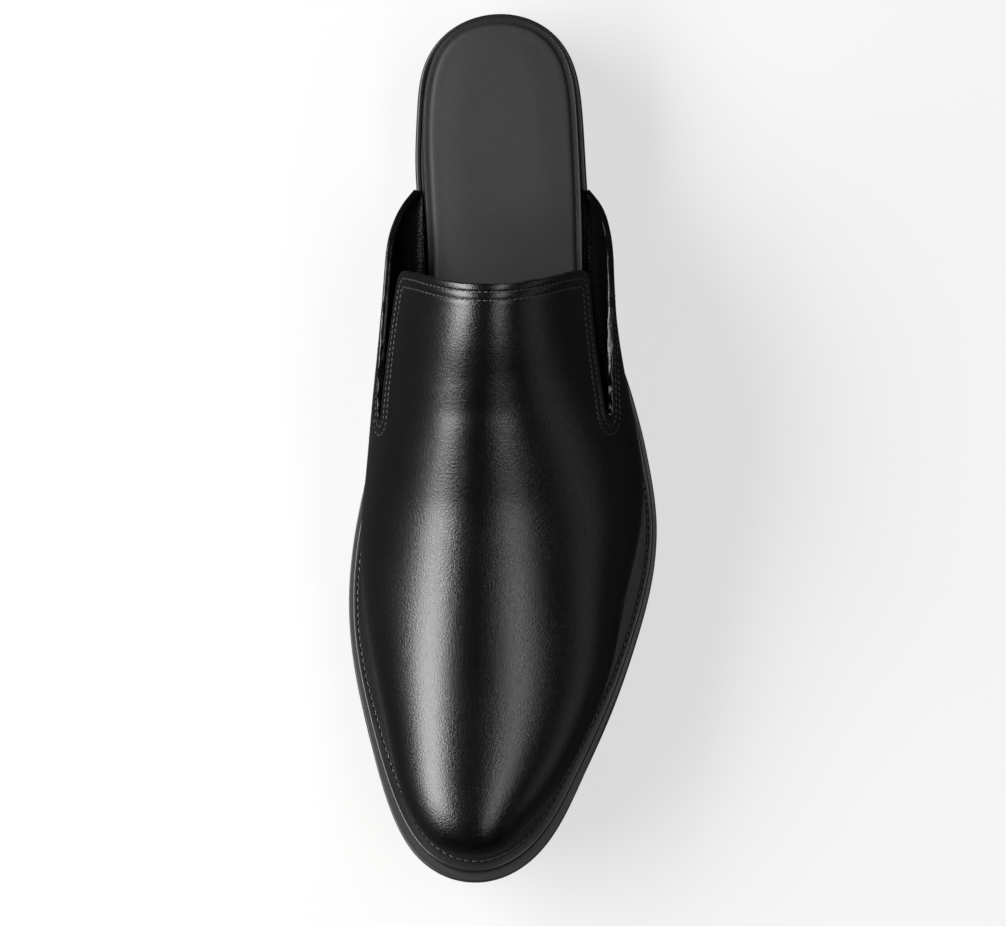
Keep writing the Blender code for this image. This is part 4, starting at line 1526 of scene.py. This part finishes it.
def unit(vectors: Array) -> Array:
    """Vectors of length one."""
    return vectors / np.maximum(np.linalg.norm(vectors, axis=1, keepdims=True), 1e-12)


def search_tree(points: Array) -> KDTree:
    """Tree that finds the nearest of the points."""
    tree = KDTree(len(points))
    for number, point in enumerate(points):
        tree.insert(point, number)
    tree.balance()
    return tree


@dataclass
class Sheet:
    """The upper's outer face before it has a wall."""

    points: Array
    faces: list[list[int]]
    normals: Array
    rim: list[int]


Halves = Mapping[Side, tuple[Array, Array, Array]]


@dataclass
class Upper:
    """Vamp with its raised tab and two low quarters: leather outside, lining inside."""

    low_rows: int = 38
    high_rows: int = 58
    quarter_stations: int = 84
    tab_stations: int = 72
    near_stations: int = 16
    near_reach: float = 0.008
    front_stations: int = 90
    tip_stations: int = 10
    rim_steps: int = 6
    rim_reach: float = 0.0007
    row_places: tuple[float, float] = (0.0022, 0.0048)
    row_marches: int = 8
    row_settles: int = 3
    row_slack: float = 0.04
    row_step: float = 0.00006
    edge_step: float = 0.00015
    groove: float = 0.00022
    groove_width: float = 0.00034
    puff: float = 0.00016
    puff_between: float = 0.9
    puff_reach: float = 0.0035
    open_within: float = 2e-5
    open_blends: int = 4

    def low_shares(self) -> Array:
        """Rows from the feather edge to the topline, closer together at the topline."""
        u = np.linspace(0.0, 1.0, self.low_rows + 1)
        return 0.4 * u + 0.6 * (1.0 - (1.0 - u) ** 2)

    def high_shares(self) -> Array:
        """Rows from the tab's side to the ridge, closer together at the side."""
        u = np.linspace(0.0, 1.0, self.high_rows + 1)
        return 0.5 * u + 0.5 * u**2

    def half(self, side: Side) -> tuple[Array, Array, Array]:
        """Outer face of one half.

        Args:
            side: Half of the shoe.

        Returns:
            Grids of the quarter, the tab and the closed front.
        """
        slit = SLIT_ALONG * LENGTH
        start = QUARTER_ALONG * LENGTH
        feather = FEATHER.nose * LENGTH
        low, high = self.low_shares(), self.high_shares()
        u = np.linspace(0.0, 1.0, self.quarter_stations + 1)
        distance = start + (slit - start) * (1.0 - (1.0 - u) ** 1.5)
        top = LAST.edge_share(0, distance, side, -1.0)
        quarter = LAST.skin(distance, side, top[:, None] * low[None, :])
        u = np.linspace(0.0, 1.0, self.tab_stations + 1)
        reach = 1.0 - (1.0 - 0.4 * u - 0.6 * smooth_step(u)) ** 1.3
        columns = []
        for share in high:
            end = LAST.tab_end(np.array([share]), side)[0]
            distance = end + (slit - end) * reach
            edge = LAST.edge_share(1, distance, side, 1.0)
            place = edge + (1.0 - edge) * share
            columns.append(LAST.skin(distance, side, place[:, None])[:, 0])
        tab = np.stack(columns, axis=1)
        near = slit + np.linspace(0.0, self.near_reach, self.near_stations + 1)
        u = np.linspace(0.0, 1.0, self.front_stations + 1)[1:]
        body = near[-1] + (feather - near[-1]) * np.sin(math.pi / 2.0 * u)
        u = np.linspace(0.0, 1.0, self.tip_stations + 1)[1:]
        tip = feather + (LAST.nose - feather) * np.sin(math.pi / 2.0 * u)
        distance = np.concatenate([near, body, tip])
        at_slit = LAST.edge_share(0, np.array([slit]), side, 0.0)[0]
        at_nose = self.low_rows / (self.low_rows + self.high_rows)
        middle = at_slit + (at_nose - at_slit) * smooth_step((distance - slit) / (LAST.nose - slit))
        middle = middle[:, None]
        shares = np.concatenate([middle * low, middle + (1.0 - middle) * high[1:]], axis=1)
        return quarter, tab, LAST.skin(distance, side, shares)

    def sheet(self, halves: Halves) -> Sheet:
        """Join the two halves into one open sheet.

        Args:
            halves: The grids of each half.

        Returns:
            The sheet with its faces and normals pointing out.
        """
        work = Patchwork()
        for side in Side:
            for lines in halves[side]:
                work.grid(lines)
        mesh = work.mesh("upper_sheet")
        count = len(mesh.vertices)
        points = np.empty(count * 3)
        mesh.vertices.foreach_get("co", points)
        normals = np.array([normal.vector[:] for normal in mesh.vertex_normals])
        points = points.reshape(-1, 3)
        faces = [list(face.vertices) for face in mesh.polygons]
        if normals[np.argmax(points[:, 2]), 2] < 0.0:
            normals = -normals
            faces = [face[::-1] for face in faces]
        rim = self.rim_loop(faces)
        bpy.data.meshes.remove(mesh)
        return Sheet(points, faces, normals, rim)

    @staticmethod
    def rim_loop(faces: Sequence[Sequence[int]]) -> list[int]:
        """Corners along the sheet's edge, in order."""
        open_edges: dict[int, int] = {}
        edges = set()
        for face in faces:
            for k, corner in enumerate(face):
                edges.add((face[k - 1], corner))
        for first, second in edges:
            if (second, first) not in edges:
                open_edges[first] = second
        start = next(iter(open_edges))
        loop = [start]
        while open_edges[loop[-1]] != start:
            loop.append(open_edges[loop[-1]])
        return loop

    def free_edge(self, halves: Halves) -> Array:
        """Line along the topline, the slits and the tab, from the inner side to the outer."""
        parts = []
        for side in Side:
            quarter, tab, _ = halves[side]
            line = np.concatenate([quarter[:, -1], tab[::-1, 0], tab[0]])
            parts.append(line if side is Side.MEDIAL else line[::-1])
        return even_line(np.concatenate(parts), self.edge_step)

    def relief(self, reach: Array) -> Array:
        """How far the leather swells or sinks at a distance from its free edge."""
        first, second = self.row_places
        swell = np.where(reach < first, np.sin(math.pi * np.clip(reach / first, 0.0, 1.0)), 0.0)
        between = np.clip((reach - first) / (second - first), 0.0, 1.0)
        swell = swell + self.puff_between * np.sin(math.pi * between)
        beyond = np.clip((reach - second) / self.puff_reach, 0.0, 1.0)
        swell = swell + np.sin(math.pi * beyond) * (1.0 - beyond) ** 2
        sink = sum(np.exp(-(((reach - place) / self.groove_width) ** 2))
                   for place in self.row_places)
        return self.puff * swell - self.groove * sink

    def wall(self, sheet: Sheet, free: Array) -> bpy.types.Mesh:
        """Give the sheet its stitched relief, a lining and a rounded edge.

        Args:
            sheet: The outer face, whose points are moved by the relief.
            free: Points along the free edges.

        Returns:
            The closed mesh.
        """
        tree = search_tree(free)
        reach = np.array([tree.find(point)[2] for point in sheet.points])
        inner = sheet.points - sheet.normals * WALL
        sheet.points = sheet.points + sheet.normals * self.relief(reach)[:, None]
        loop = np.array(sheet.rim)
        outer_rim, inner_rim, normals = sheet.points[loop], inner[loop], sheet.normals[loop]
        tangent = unit(np.roll(outer_rim, -1, axis=0) - np.roll(outer_rim, 1, axis=0))
        outward = unit(np.cross(tangent, normals))
        opened = np.where(reach[loop] < self.open_within, 1.0, 0.0)
        for _ in range(self.open_blends):
            opened = (np.roll(opened, 1) + 2.0 * opened + np.roll(opened, -1)) / 4.0
        middle = (outer_rim + inner_rim) / 2.0
        half = (outer_rim - inner_rim) / 2.0
        count = len(sheet.points)
        rings = []
        for k in range(1, self.rim_steps):
            angle = math.pi * k / self.rim_steps
            swing = outward * (self.rim_reach * math.sin(angle) * opened)[:, None]
            rings.append(middle + half * math.cos(angle) + swing)
        points = np.concatenate([sheet.points, inner, *rings])
        numbers = [loop, *[2 * count + k * len(loop) + np.arange(len(loop))
                           for k in range(self.rim_steps - 1)], loop + count]
        faces = [*sheet.faces, *[[corner + count for corner in face[::-1]] for face in sheet.faces]]
        slots = [0] * len(sheet.faces) + [1] * len(sheet.faces)
        for first, second in zip(numbers, numbers[1:]):
            quads = np.stack([first, second, np.roll(second, -1), np.roll(first, -1)], axis=1)
            faces += quads.tolist()
            slots += [0] * len(quads)
        mesh = bpy.data.meshes.new("shoe_upper")
        mesh.from_pydata(points.tolist(), [], faces)
        mesh.polygons.foreach_set("material_index", slots)
        face_out(mesh)
        return mesh

    def row(self, sheet: Sheet, free: Array, reach: float) -> tuple[Array, Array]:
        """Line of a stitch row at a distance from the free edge.

        Args:
            sheet: The outer face with its relief.
            free: Points along the free edges.
            reach: Distance of the row from them.

        Returns:
            Points on the leather and the leather's normals there.
        """
        surface = BVHTree.FromPolygons(sheet.points.tolist(), sheet.faces)
        tree = search_tree(free)
        places, normals = [], []
        for place, along in zip(free, unit(np.gradient(free, axis=0))):
            hit, along = Vector(place), Vector(along)
            inward = along.cross(surface.find_nearest(hit)[1]).normalized()
            for _ in range(self.row_marches):
                hit, normal = surface.find_nearest(hit + inward * reach / self.row_marches)[:2]
                inward = (inward - normal * inward.dot(normal)).normalized()
            for _ in range(self.row_settles):
                near = tree.find(hit)[0]
                hit, normal = surface.find_nearest(near + (hit - near).normalized() * reach)[:2]
            level = abs(tree.find(hit)[2] - reach) < self.row_slack * reach
            if level and (not places or along.dot(hit - places[-1]) > self.row_step):
                places.append(hit)
                normals.append(normal)
        return np.array(places), np.array(normals)

    def build(self, bench: Bench) -> list[bpy.types.Object]:
        """Make the upper and its stitches."""
        halves = {side: self.half(side) for side in Side}
        sheet = self.sheet(halves)
        free = self.free_edge(halves)
        mesh = self.wall(sheet, free)
        finishes = [Finish.UPPER, Finish.LINING]
        upper = bench.piece(mesh, "shoe_upper", finishes, "upper_leather", ["upper"], 60.0)
        pieces = [upper]
        for number, reach in enumerate(self.row_places, start=1):
            places, normals = self.row(sheet, free, reach)
            stitching = Stitching(f"shoe_upper_stitches_{number}", seed=number)
            pieces.append(stitching.sew(bench, places, normals, "upper_leather"))
        return pieces


@dataclass
class Stitching:
    """A row of lockstitches along a line, placed by geometry nodes."""

    name: str
    pitch: float = 0.00185
    length: float = 0.00150
    width: float = 0.00052
    height: float = 0.00042
    lean: float = 0.10
    sink: float = 0.00002
    seed: int = 1

    def inputs(self) -> dict[str, tuple[str, object]]:
        """Named inputs of the tree, with their socket types and values."""
        return {
            "Pitch": ("NodeSocketFloat", self.pitch),
            "Length": ("NodeSocketFloat", self.length),
            "Width": ("NodeSocketFloat", self.width),
            "Height": ("NodeSocketFloat", self.height),
            "Lean": ("NodeSocketFloat", self.lean),
            "Seed": ("NodeSocketInt", self.seed),
            "Thread": ("NodeSocketMaterial", Finish.THREAD.material()),
        }

    def tree(self) -> bpy.types.NodeTree:
        """Geometry nodes that lay a stitch at each step of the line."""
        tree = bpy.data.node_groups.new(self.name, "GeometryNodeTree")
        tree.interface.new_socket("Geometry", in_out="OUTPUT", socket_type="NodeSocketGeometry")
        tree.interface.new_socket("Geometry", in_out="INPUT", socket_type="NodeSocketGeometry")
        for name, (kind, _) in self.inputs().items():
            tree.interface.new_socket(name, in_out="INPUT", socket_type=kind)
        nodes = Nodes(tree)
        given = nodes.add("NodeGroupInput")

        def take(name: str) -> Value:
            """One named input of the tree."""
            return Value(nodes, given.outputs[name])

        curve = nodes.value("GeometryNodeMeshToCurve", None, {"Mesh": take("Geometry")})
        steps = nodes.value("GeometryNodeResampleCurve", {"mode": "LENGTH"},
                            {"Curve": curve, "Length": take("Pitch")})
        ball = nodes.value("GeometryNodeMeshUVSphere", None,
                           {"Segments": 8, "Rings": 6, "Radius": 0.5})
        size = nodes.value("ShaderNodeCombineXYZ", None,
                           {"X": take("Length"), "Y": take("Width"), "Z": take("Height")})
        stitch = nodes.value("GeometryNodeTransform", None, {"Geometry": ball, "Scale": size})
        tangent = nodes.value("GeometryNodeInputTangent")
        out = nodes.value("GeometryNodeInputNamedAttribute", {"data_type": "FLOAT_VECTOR"},
                          {"Name": "out"})
        along = nodes.value("FunctionNodeAlignRotationToVector", {"axis": "X"},
                            {"Vector": tangent})
        upright = nodes.value("FunctionNodeAlignRotationToVector",
                              {"axis": "Z", "pivot_axis": "X"}, {"Rotation": along, "Vector": out})
        random = nodes.value("FunctionNodeRandomValue", {"data_type": "FLOAT"},
                             {2: -0.05, 3: 0.05, "Seed": take("Seed")}, 1)
        turn = nodes.value("ShaderNodeCombineXYZ", None, {"Z": random + take("Lean")})
        lean = nodes.value("FunctionNodeEulerToRotation", None, {"Euler": turn})
        turned = nodes.value("FunctionNodeRotateRotation", {"rotation_space": "LOCAL"},
                             {"Rotation": upright, "Rotate By": lean})
        laid = nodes.value("GeometryNodeInstanceOnPoints", None,
                           {"Points": steps, "Instance": stitch, "Rotation": turned})
        real = nodes.value("GeometryNodeRealizeInstances", None, {"Geometry": laid})
        soft = nodes.value("GeometryNodeSetShadeSmooth", None, {"Geometry": real})
        dyed = nodes.value("GeometryNodeSetMaterial", None,
                           {"Geometry": soft, "Material": take("Thread")})
        nodes.add("NodeGroupOutput", None, {"Geometry": dyed})
        return tree

    def sew(self, bench: Bench, places: Array, normals: Array, slot: str) -> bpy.types.Object:
        """Lay the stitches along a line.

        Args:
            bench: Where the piece is made.
            places: Points of the line.
            normals: The leather's normals there.
            slot: The record's slot, handed on to the bench, which does not use it.

        Returns:
            The object.
        """
        line = bpy.data.meshes.new(self.name + "_line")
        steps = np.linalg.norm(np.diff(places, axis=0), axis=1)
        edges = [(k, k + 1) for k, step in enumerate(steps) if step < self.pitch]
        line.from_pydata((places + normals * self.sink).tolist(), edges, [])
        out = line.attributes.new("out", "FLOAT_VECTOR", "POINT")
        out.data.foreach_set("vector", normals.astype(np.float32).ravel())
        holder = bpy.data.objects.new(self.name + "_line", line)
        bpy.context.scene.collection.objects.link(holder)
        modifier = holder.modifiers.new("stitches", "NODES")
        modifier.node_group = self.tree()
        values = self.inputs()
        for item in modifier.node_group.interface.items_tree:
            if item.in_out == "INPUT" and item.name in values:
                modifier[item.identifier] = values[item.name][1]
        graph = bpy.context.evaluated_depsgraph_get()
        mesh = bpy.data.meshes.new_from_object(holder.evaluated_get(graph))
        bpy.data.objects.remove(holder, do_unlink=True)
        return bench.piece(mesh, self.name, [Finish.THREAD], slot)


@dataclass
class WeltStitching:
    """Stitches in the welt's channel, from the breast round the toe."""

    start_along: float = 0.235
    rise: float = -0.00022
    stations: int = 400

    def build(self, bench: Bench, welt: Welt) -> bpy.types.Object:
        """Sew along the channel of the welt."""
        turn = np.linspace(sole_turn(self.start_along), 1.0, self.stations)
        depth = over(LINE.welt_top, self.rise)
        lines = []
        for side in Side:
            distance, across = SOLE.point(turn, side, welt.channel_inset(turn))
            base = LINE.base_under(distance, welt.level)
            low = LINE.stacked(base, across, depth(base))
            high = LINE.stacked(base, across, depth(base) + 0.001)
            lines.append((low, unit(high - low)))
        places = np.concatenate([lines[0][0], lines[1][0][-2::-1]])
        normals = np.concatenate([lines[0][1], lines[1][1][-2::-1]])
        stitching = Stitching("shoe_welt_stitches", pitch=0.0024, length=0.0020, width=0.00060,
                              height=0.00040, lean=0.0, seed=7)
        return stitching.sew(bench, places, normals, "welt_leather")


@dataclass(frozen=True)
class Softbox:
    """One soft light that faces the shoe.

    Its size is its width and its length along the shoe, and its radiance is how bright its face is.
    """

    name: str
    place: Place
    size: tuple[float, float]
    radiance: float
    target: Place = (0.0, 0.0, 0.03)

    def build(self) -> bpy.types.Object:
        """Make the light."""
        light = bpy.data.lights.new(self.name, "AREA")
        light.shape = "RECTANGLE"
        light.size, light.size_y = self.size
        light.energy = self.radiance * math.pi * self.size[0] * self.size[1]
        holder = bpy.data.objects.new(self.name, light)
        bpy.context.scene.collection.objects.link(holder)
        holder.location = self.place
        back = (Vector(self.place) - Vector(self.target)).normalized()
        right = Vector((0.0, 1.0, 0.0)).cross(back).normalized()
        up = back.cross(right)
        holder.rotation_euler = Matrix((right, up, back)).transposed().to_euler()
        return holder


@dataclass
class Studio:
    """Plain pale floor, soft lights and the camera over the shoe."""

    softboxes: tuple[Softbox, ...] = (
        Softbox("strip_inner", (-0.87, 0.06, 0.66), (0.54, 1.40), 13.5),
        Softbox("strip_outer", (0.46, -0.10, 0.98), (0.26, 1.50), 4.4),
        Softbox("fill_medial", (-1.35, -0.10, 0.32), (0.46, 1.70), 0.5),
        Softbox("fill_lateral", (1.35, -0.10, 0.32), (0.46, 1.70), 0.5),
    )
    floor_size: float = 6.0
    floor_squares: int = 8
    floor_drop: float = 0.0001
    camera_distance: float = 2.5
    camera_tilt: float = math.radians(3.0)
    camera_centre: Place = (0.0, -0.0045, 0.012)
    camera_near: float = 0.05
    field_width: float = 0.3109
    sensor: float = 36.0
    world: float = 0.03
    backdrop: float = 1.1

    def floor(self) -> bpy.types.Object:
        """Make the floor."""
        work = bmesh.new()
        squares = self.floor_squares
        bmesh.ops.create_grid(work, x_segments=squares, y_segments=squares,
                              size=self.floor_size / 2.0)
        mesh = bpy.data.meshes.new("studio_floor")
        work.to_mesh(mesh)
        work.free()
        mesh.transform(Matrix.Translation((0.0, 0.0, -self.floor_drop)))
        mesh.materials.append(Finish.FLOOR.material())
        floor = bpy.data.objects.new("studio_floor", mesh)
        bpy.context.scene.collection.objects.link(floor)
        return floor

    def lights(self) -> None:
        """Light the shoe from both sides and lift the shadows."""
        for softbox in self.softboxes:
            softbox.build()
        world = bpy.data.worlds.new("studio_world")
        world.use_nodes = True
        world.node_tree.nodes.clear()
        nodes = Nodes(world.node_tree)
        dim, pale = (nodes.value("ShaderNodeBackground", None, {"Strength": strength})
                     for strength in (self.world, self.backdrop))
        mixed = nodes.value("ShaderNodeMixShader", None, {0: nodes.seen(), 1: dim, 2: pale})
        nodes.add("ShaderNodeOutputWorld", None, {"Surface": mixed})
        bpy.context.scene.world = world
        bpy.context.scene.view_settings.view_transform = "Standard"

    def camera(self) -> bpy.types.Object:
        """Make the camera that looks down on the shoe."""
        data = bpy.data.cameras.new("camera")
        data.lens = self.sensor * self.camera_distance / self.field_width
        data.sensor_width = self.sensor
        data.clip_start = self.camera_near
        camera = bpy.data.objects.new("camera", data)
        bpy.context.scene.collection.objects.link(camera)
        across, along, height = self.camera_centre
        back = self.camera_distance * math.sin(self.camera_tilt)
        rise = self.camera_distance * math.cos(self.camera_tilt)
        camera.location = (across, along - back, height + rise)
        camera.rotation_euler = (self.camera_tilt, 0.0, 0.0)
        bpy.context.scene.camera = camera
        return camera

    def build(self) -> None:
        """Set up the studio."""
        self.floor()
        self.lights()
        self.camera()


def model_offset(outsole: Outsole, stations: int = 400) -> Vector:
    """How far the model's frame lies from the shoe's own."""
    turn = np.linspace(0.0, 1.0, stations)
    points = np.concatenate([outsole.rails(turn, side)[0].reshape(-1, 3) for side in Side])
    low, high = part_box("outsole")
    middle = (points.min(axis=0) + points.max(axis=0)) / 2.0
    return Vector(((low.x + high.x) / 2.0 - middle[0], (low.y + high.y) / 2.0 - middle[1], 0.0))


def main() -> None:
    """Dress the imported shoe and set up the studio."""
    logging.basicConfig(level=logging.INFO, format="%(name)s: %(message)s")
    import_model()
    flat = fixed(0.0)
    seat = LINE.insole_bottom
    outsole = Outsole("shoe_outsole", "outsole", "sole_edge", SOLE, flat, Finish.SOLE)
    welt = Welt("shoe_welt", "welt", "welt_leather", SOLE, flat, Finish.WELT)
    insole = Insole("shoe_insole", "insole", "wrapped_leather", FEATHER, seat, Finish.WRAPPED)
    sock = Sock("shoe_sock", "sock", "sock_leather", FEATHER, seat, Finish.SOCK)
    plate = ToePlate("shoe_toe_plate", "toe_plate", "brushed_gold", SOLE, flat, Finish.GOLD)
    bench = Bench(model_offset(outsole))
    for layer in (outsole, welt, insole, sock, plate):
        layer.build(bench)
    Heel().build(bench)
    Upper().build(bench)
    WeltStitching().build(bench, welt)
    Studio().build()
    LOG.info("made %d pieces", len(bench.made))


if __name__ == "__main__":
    main()
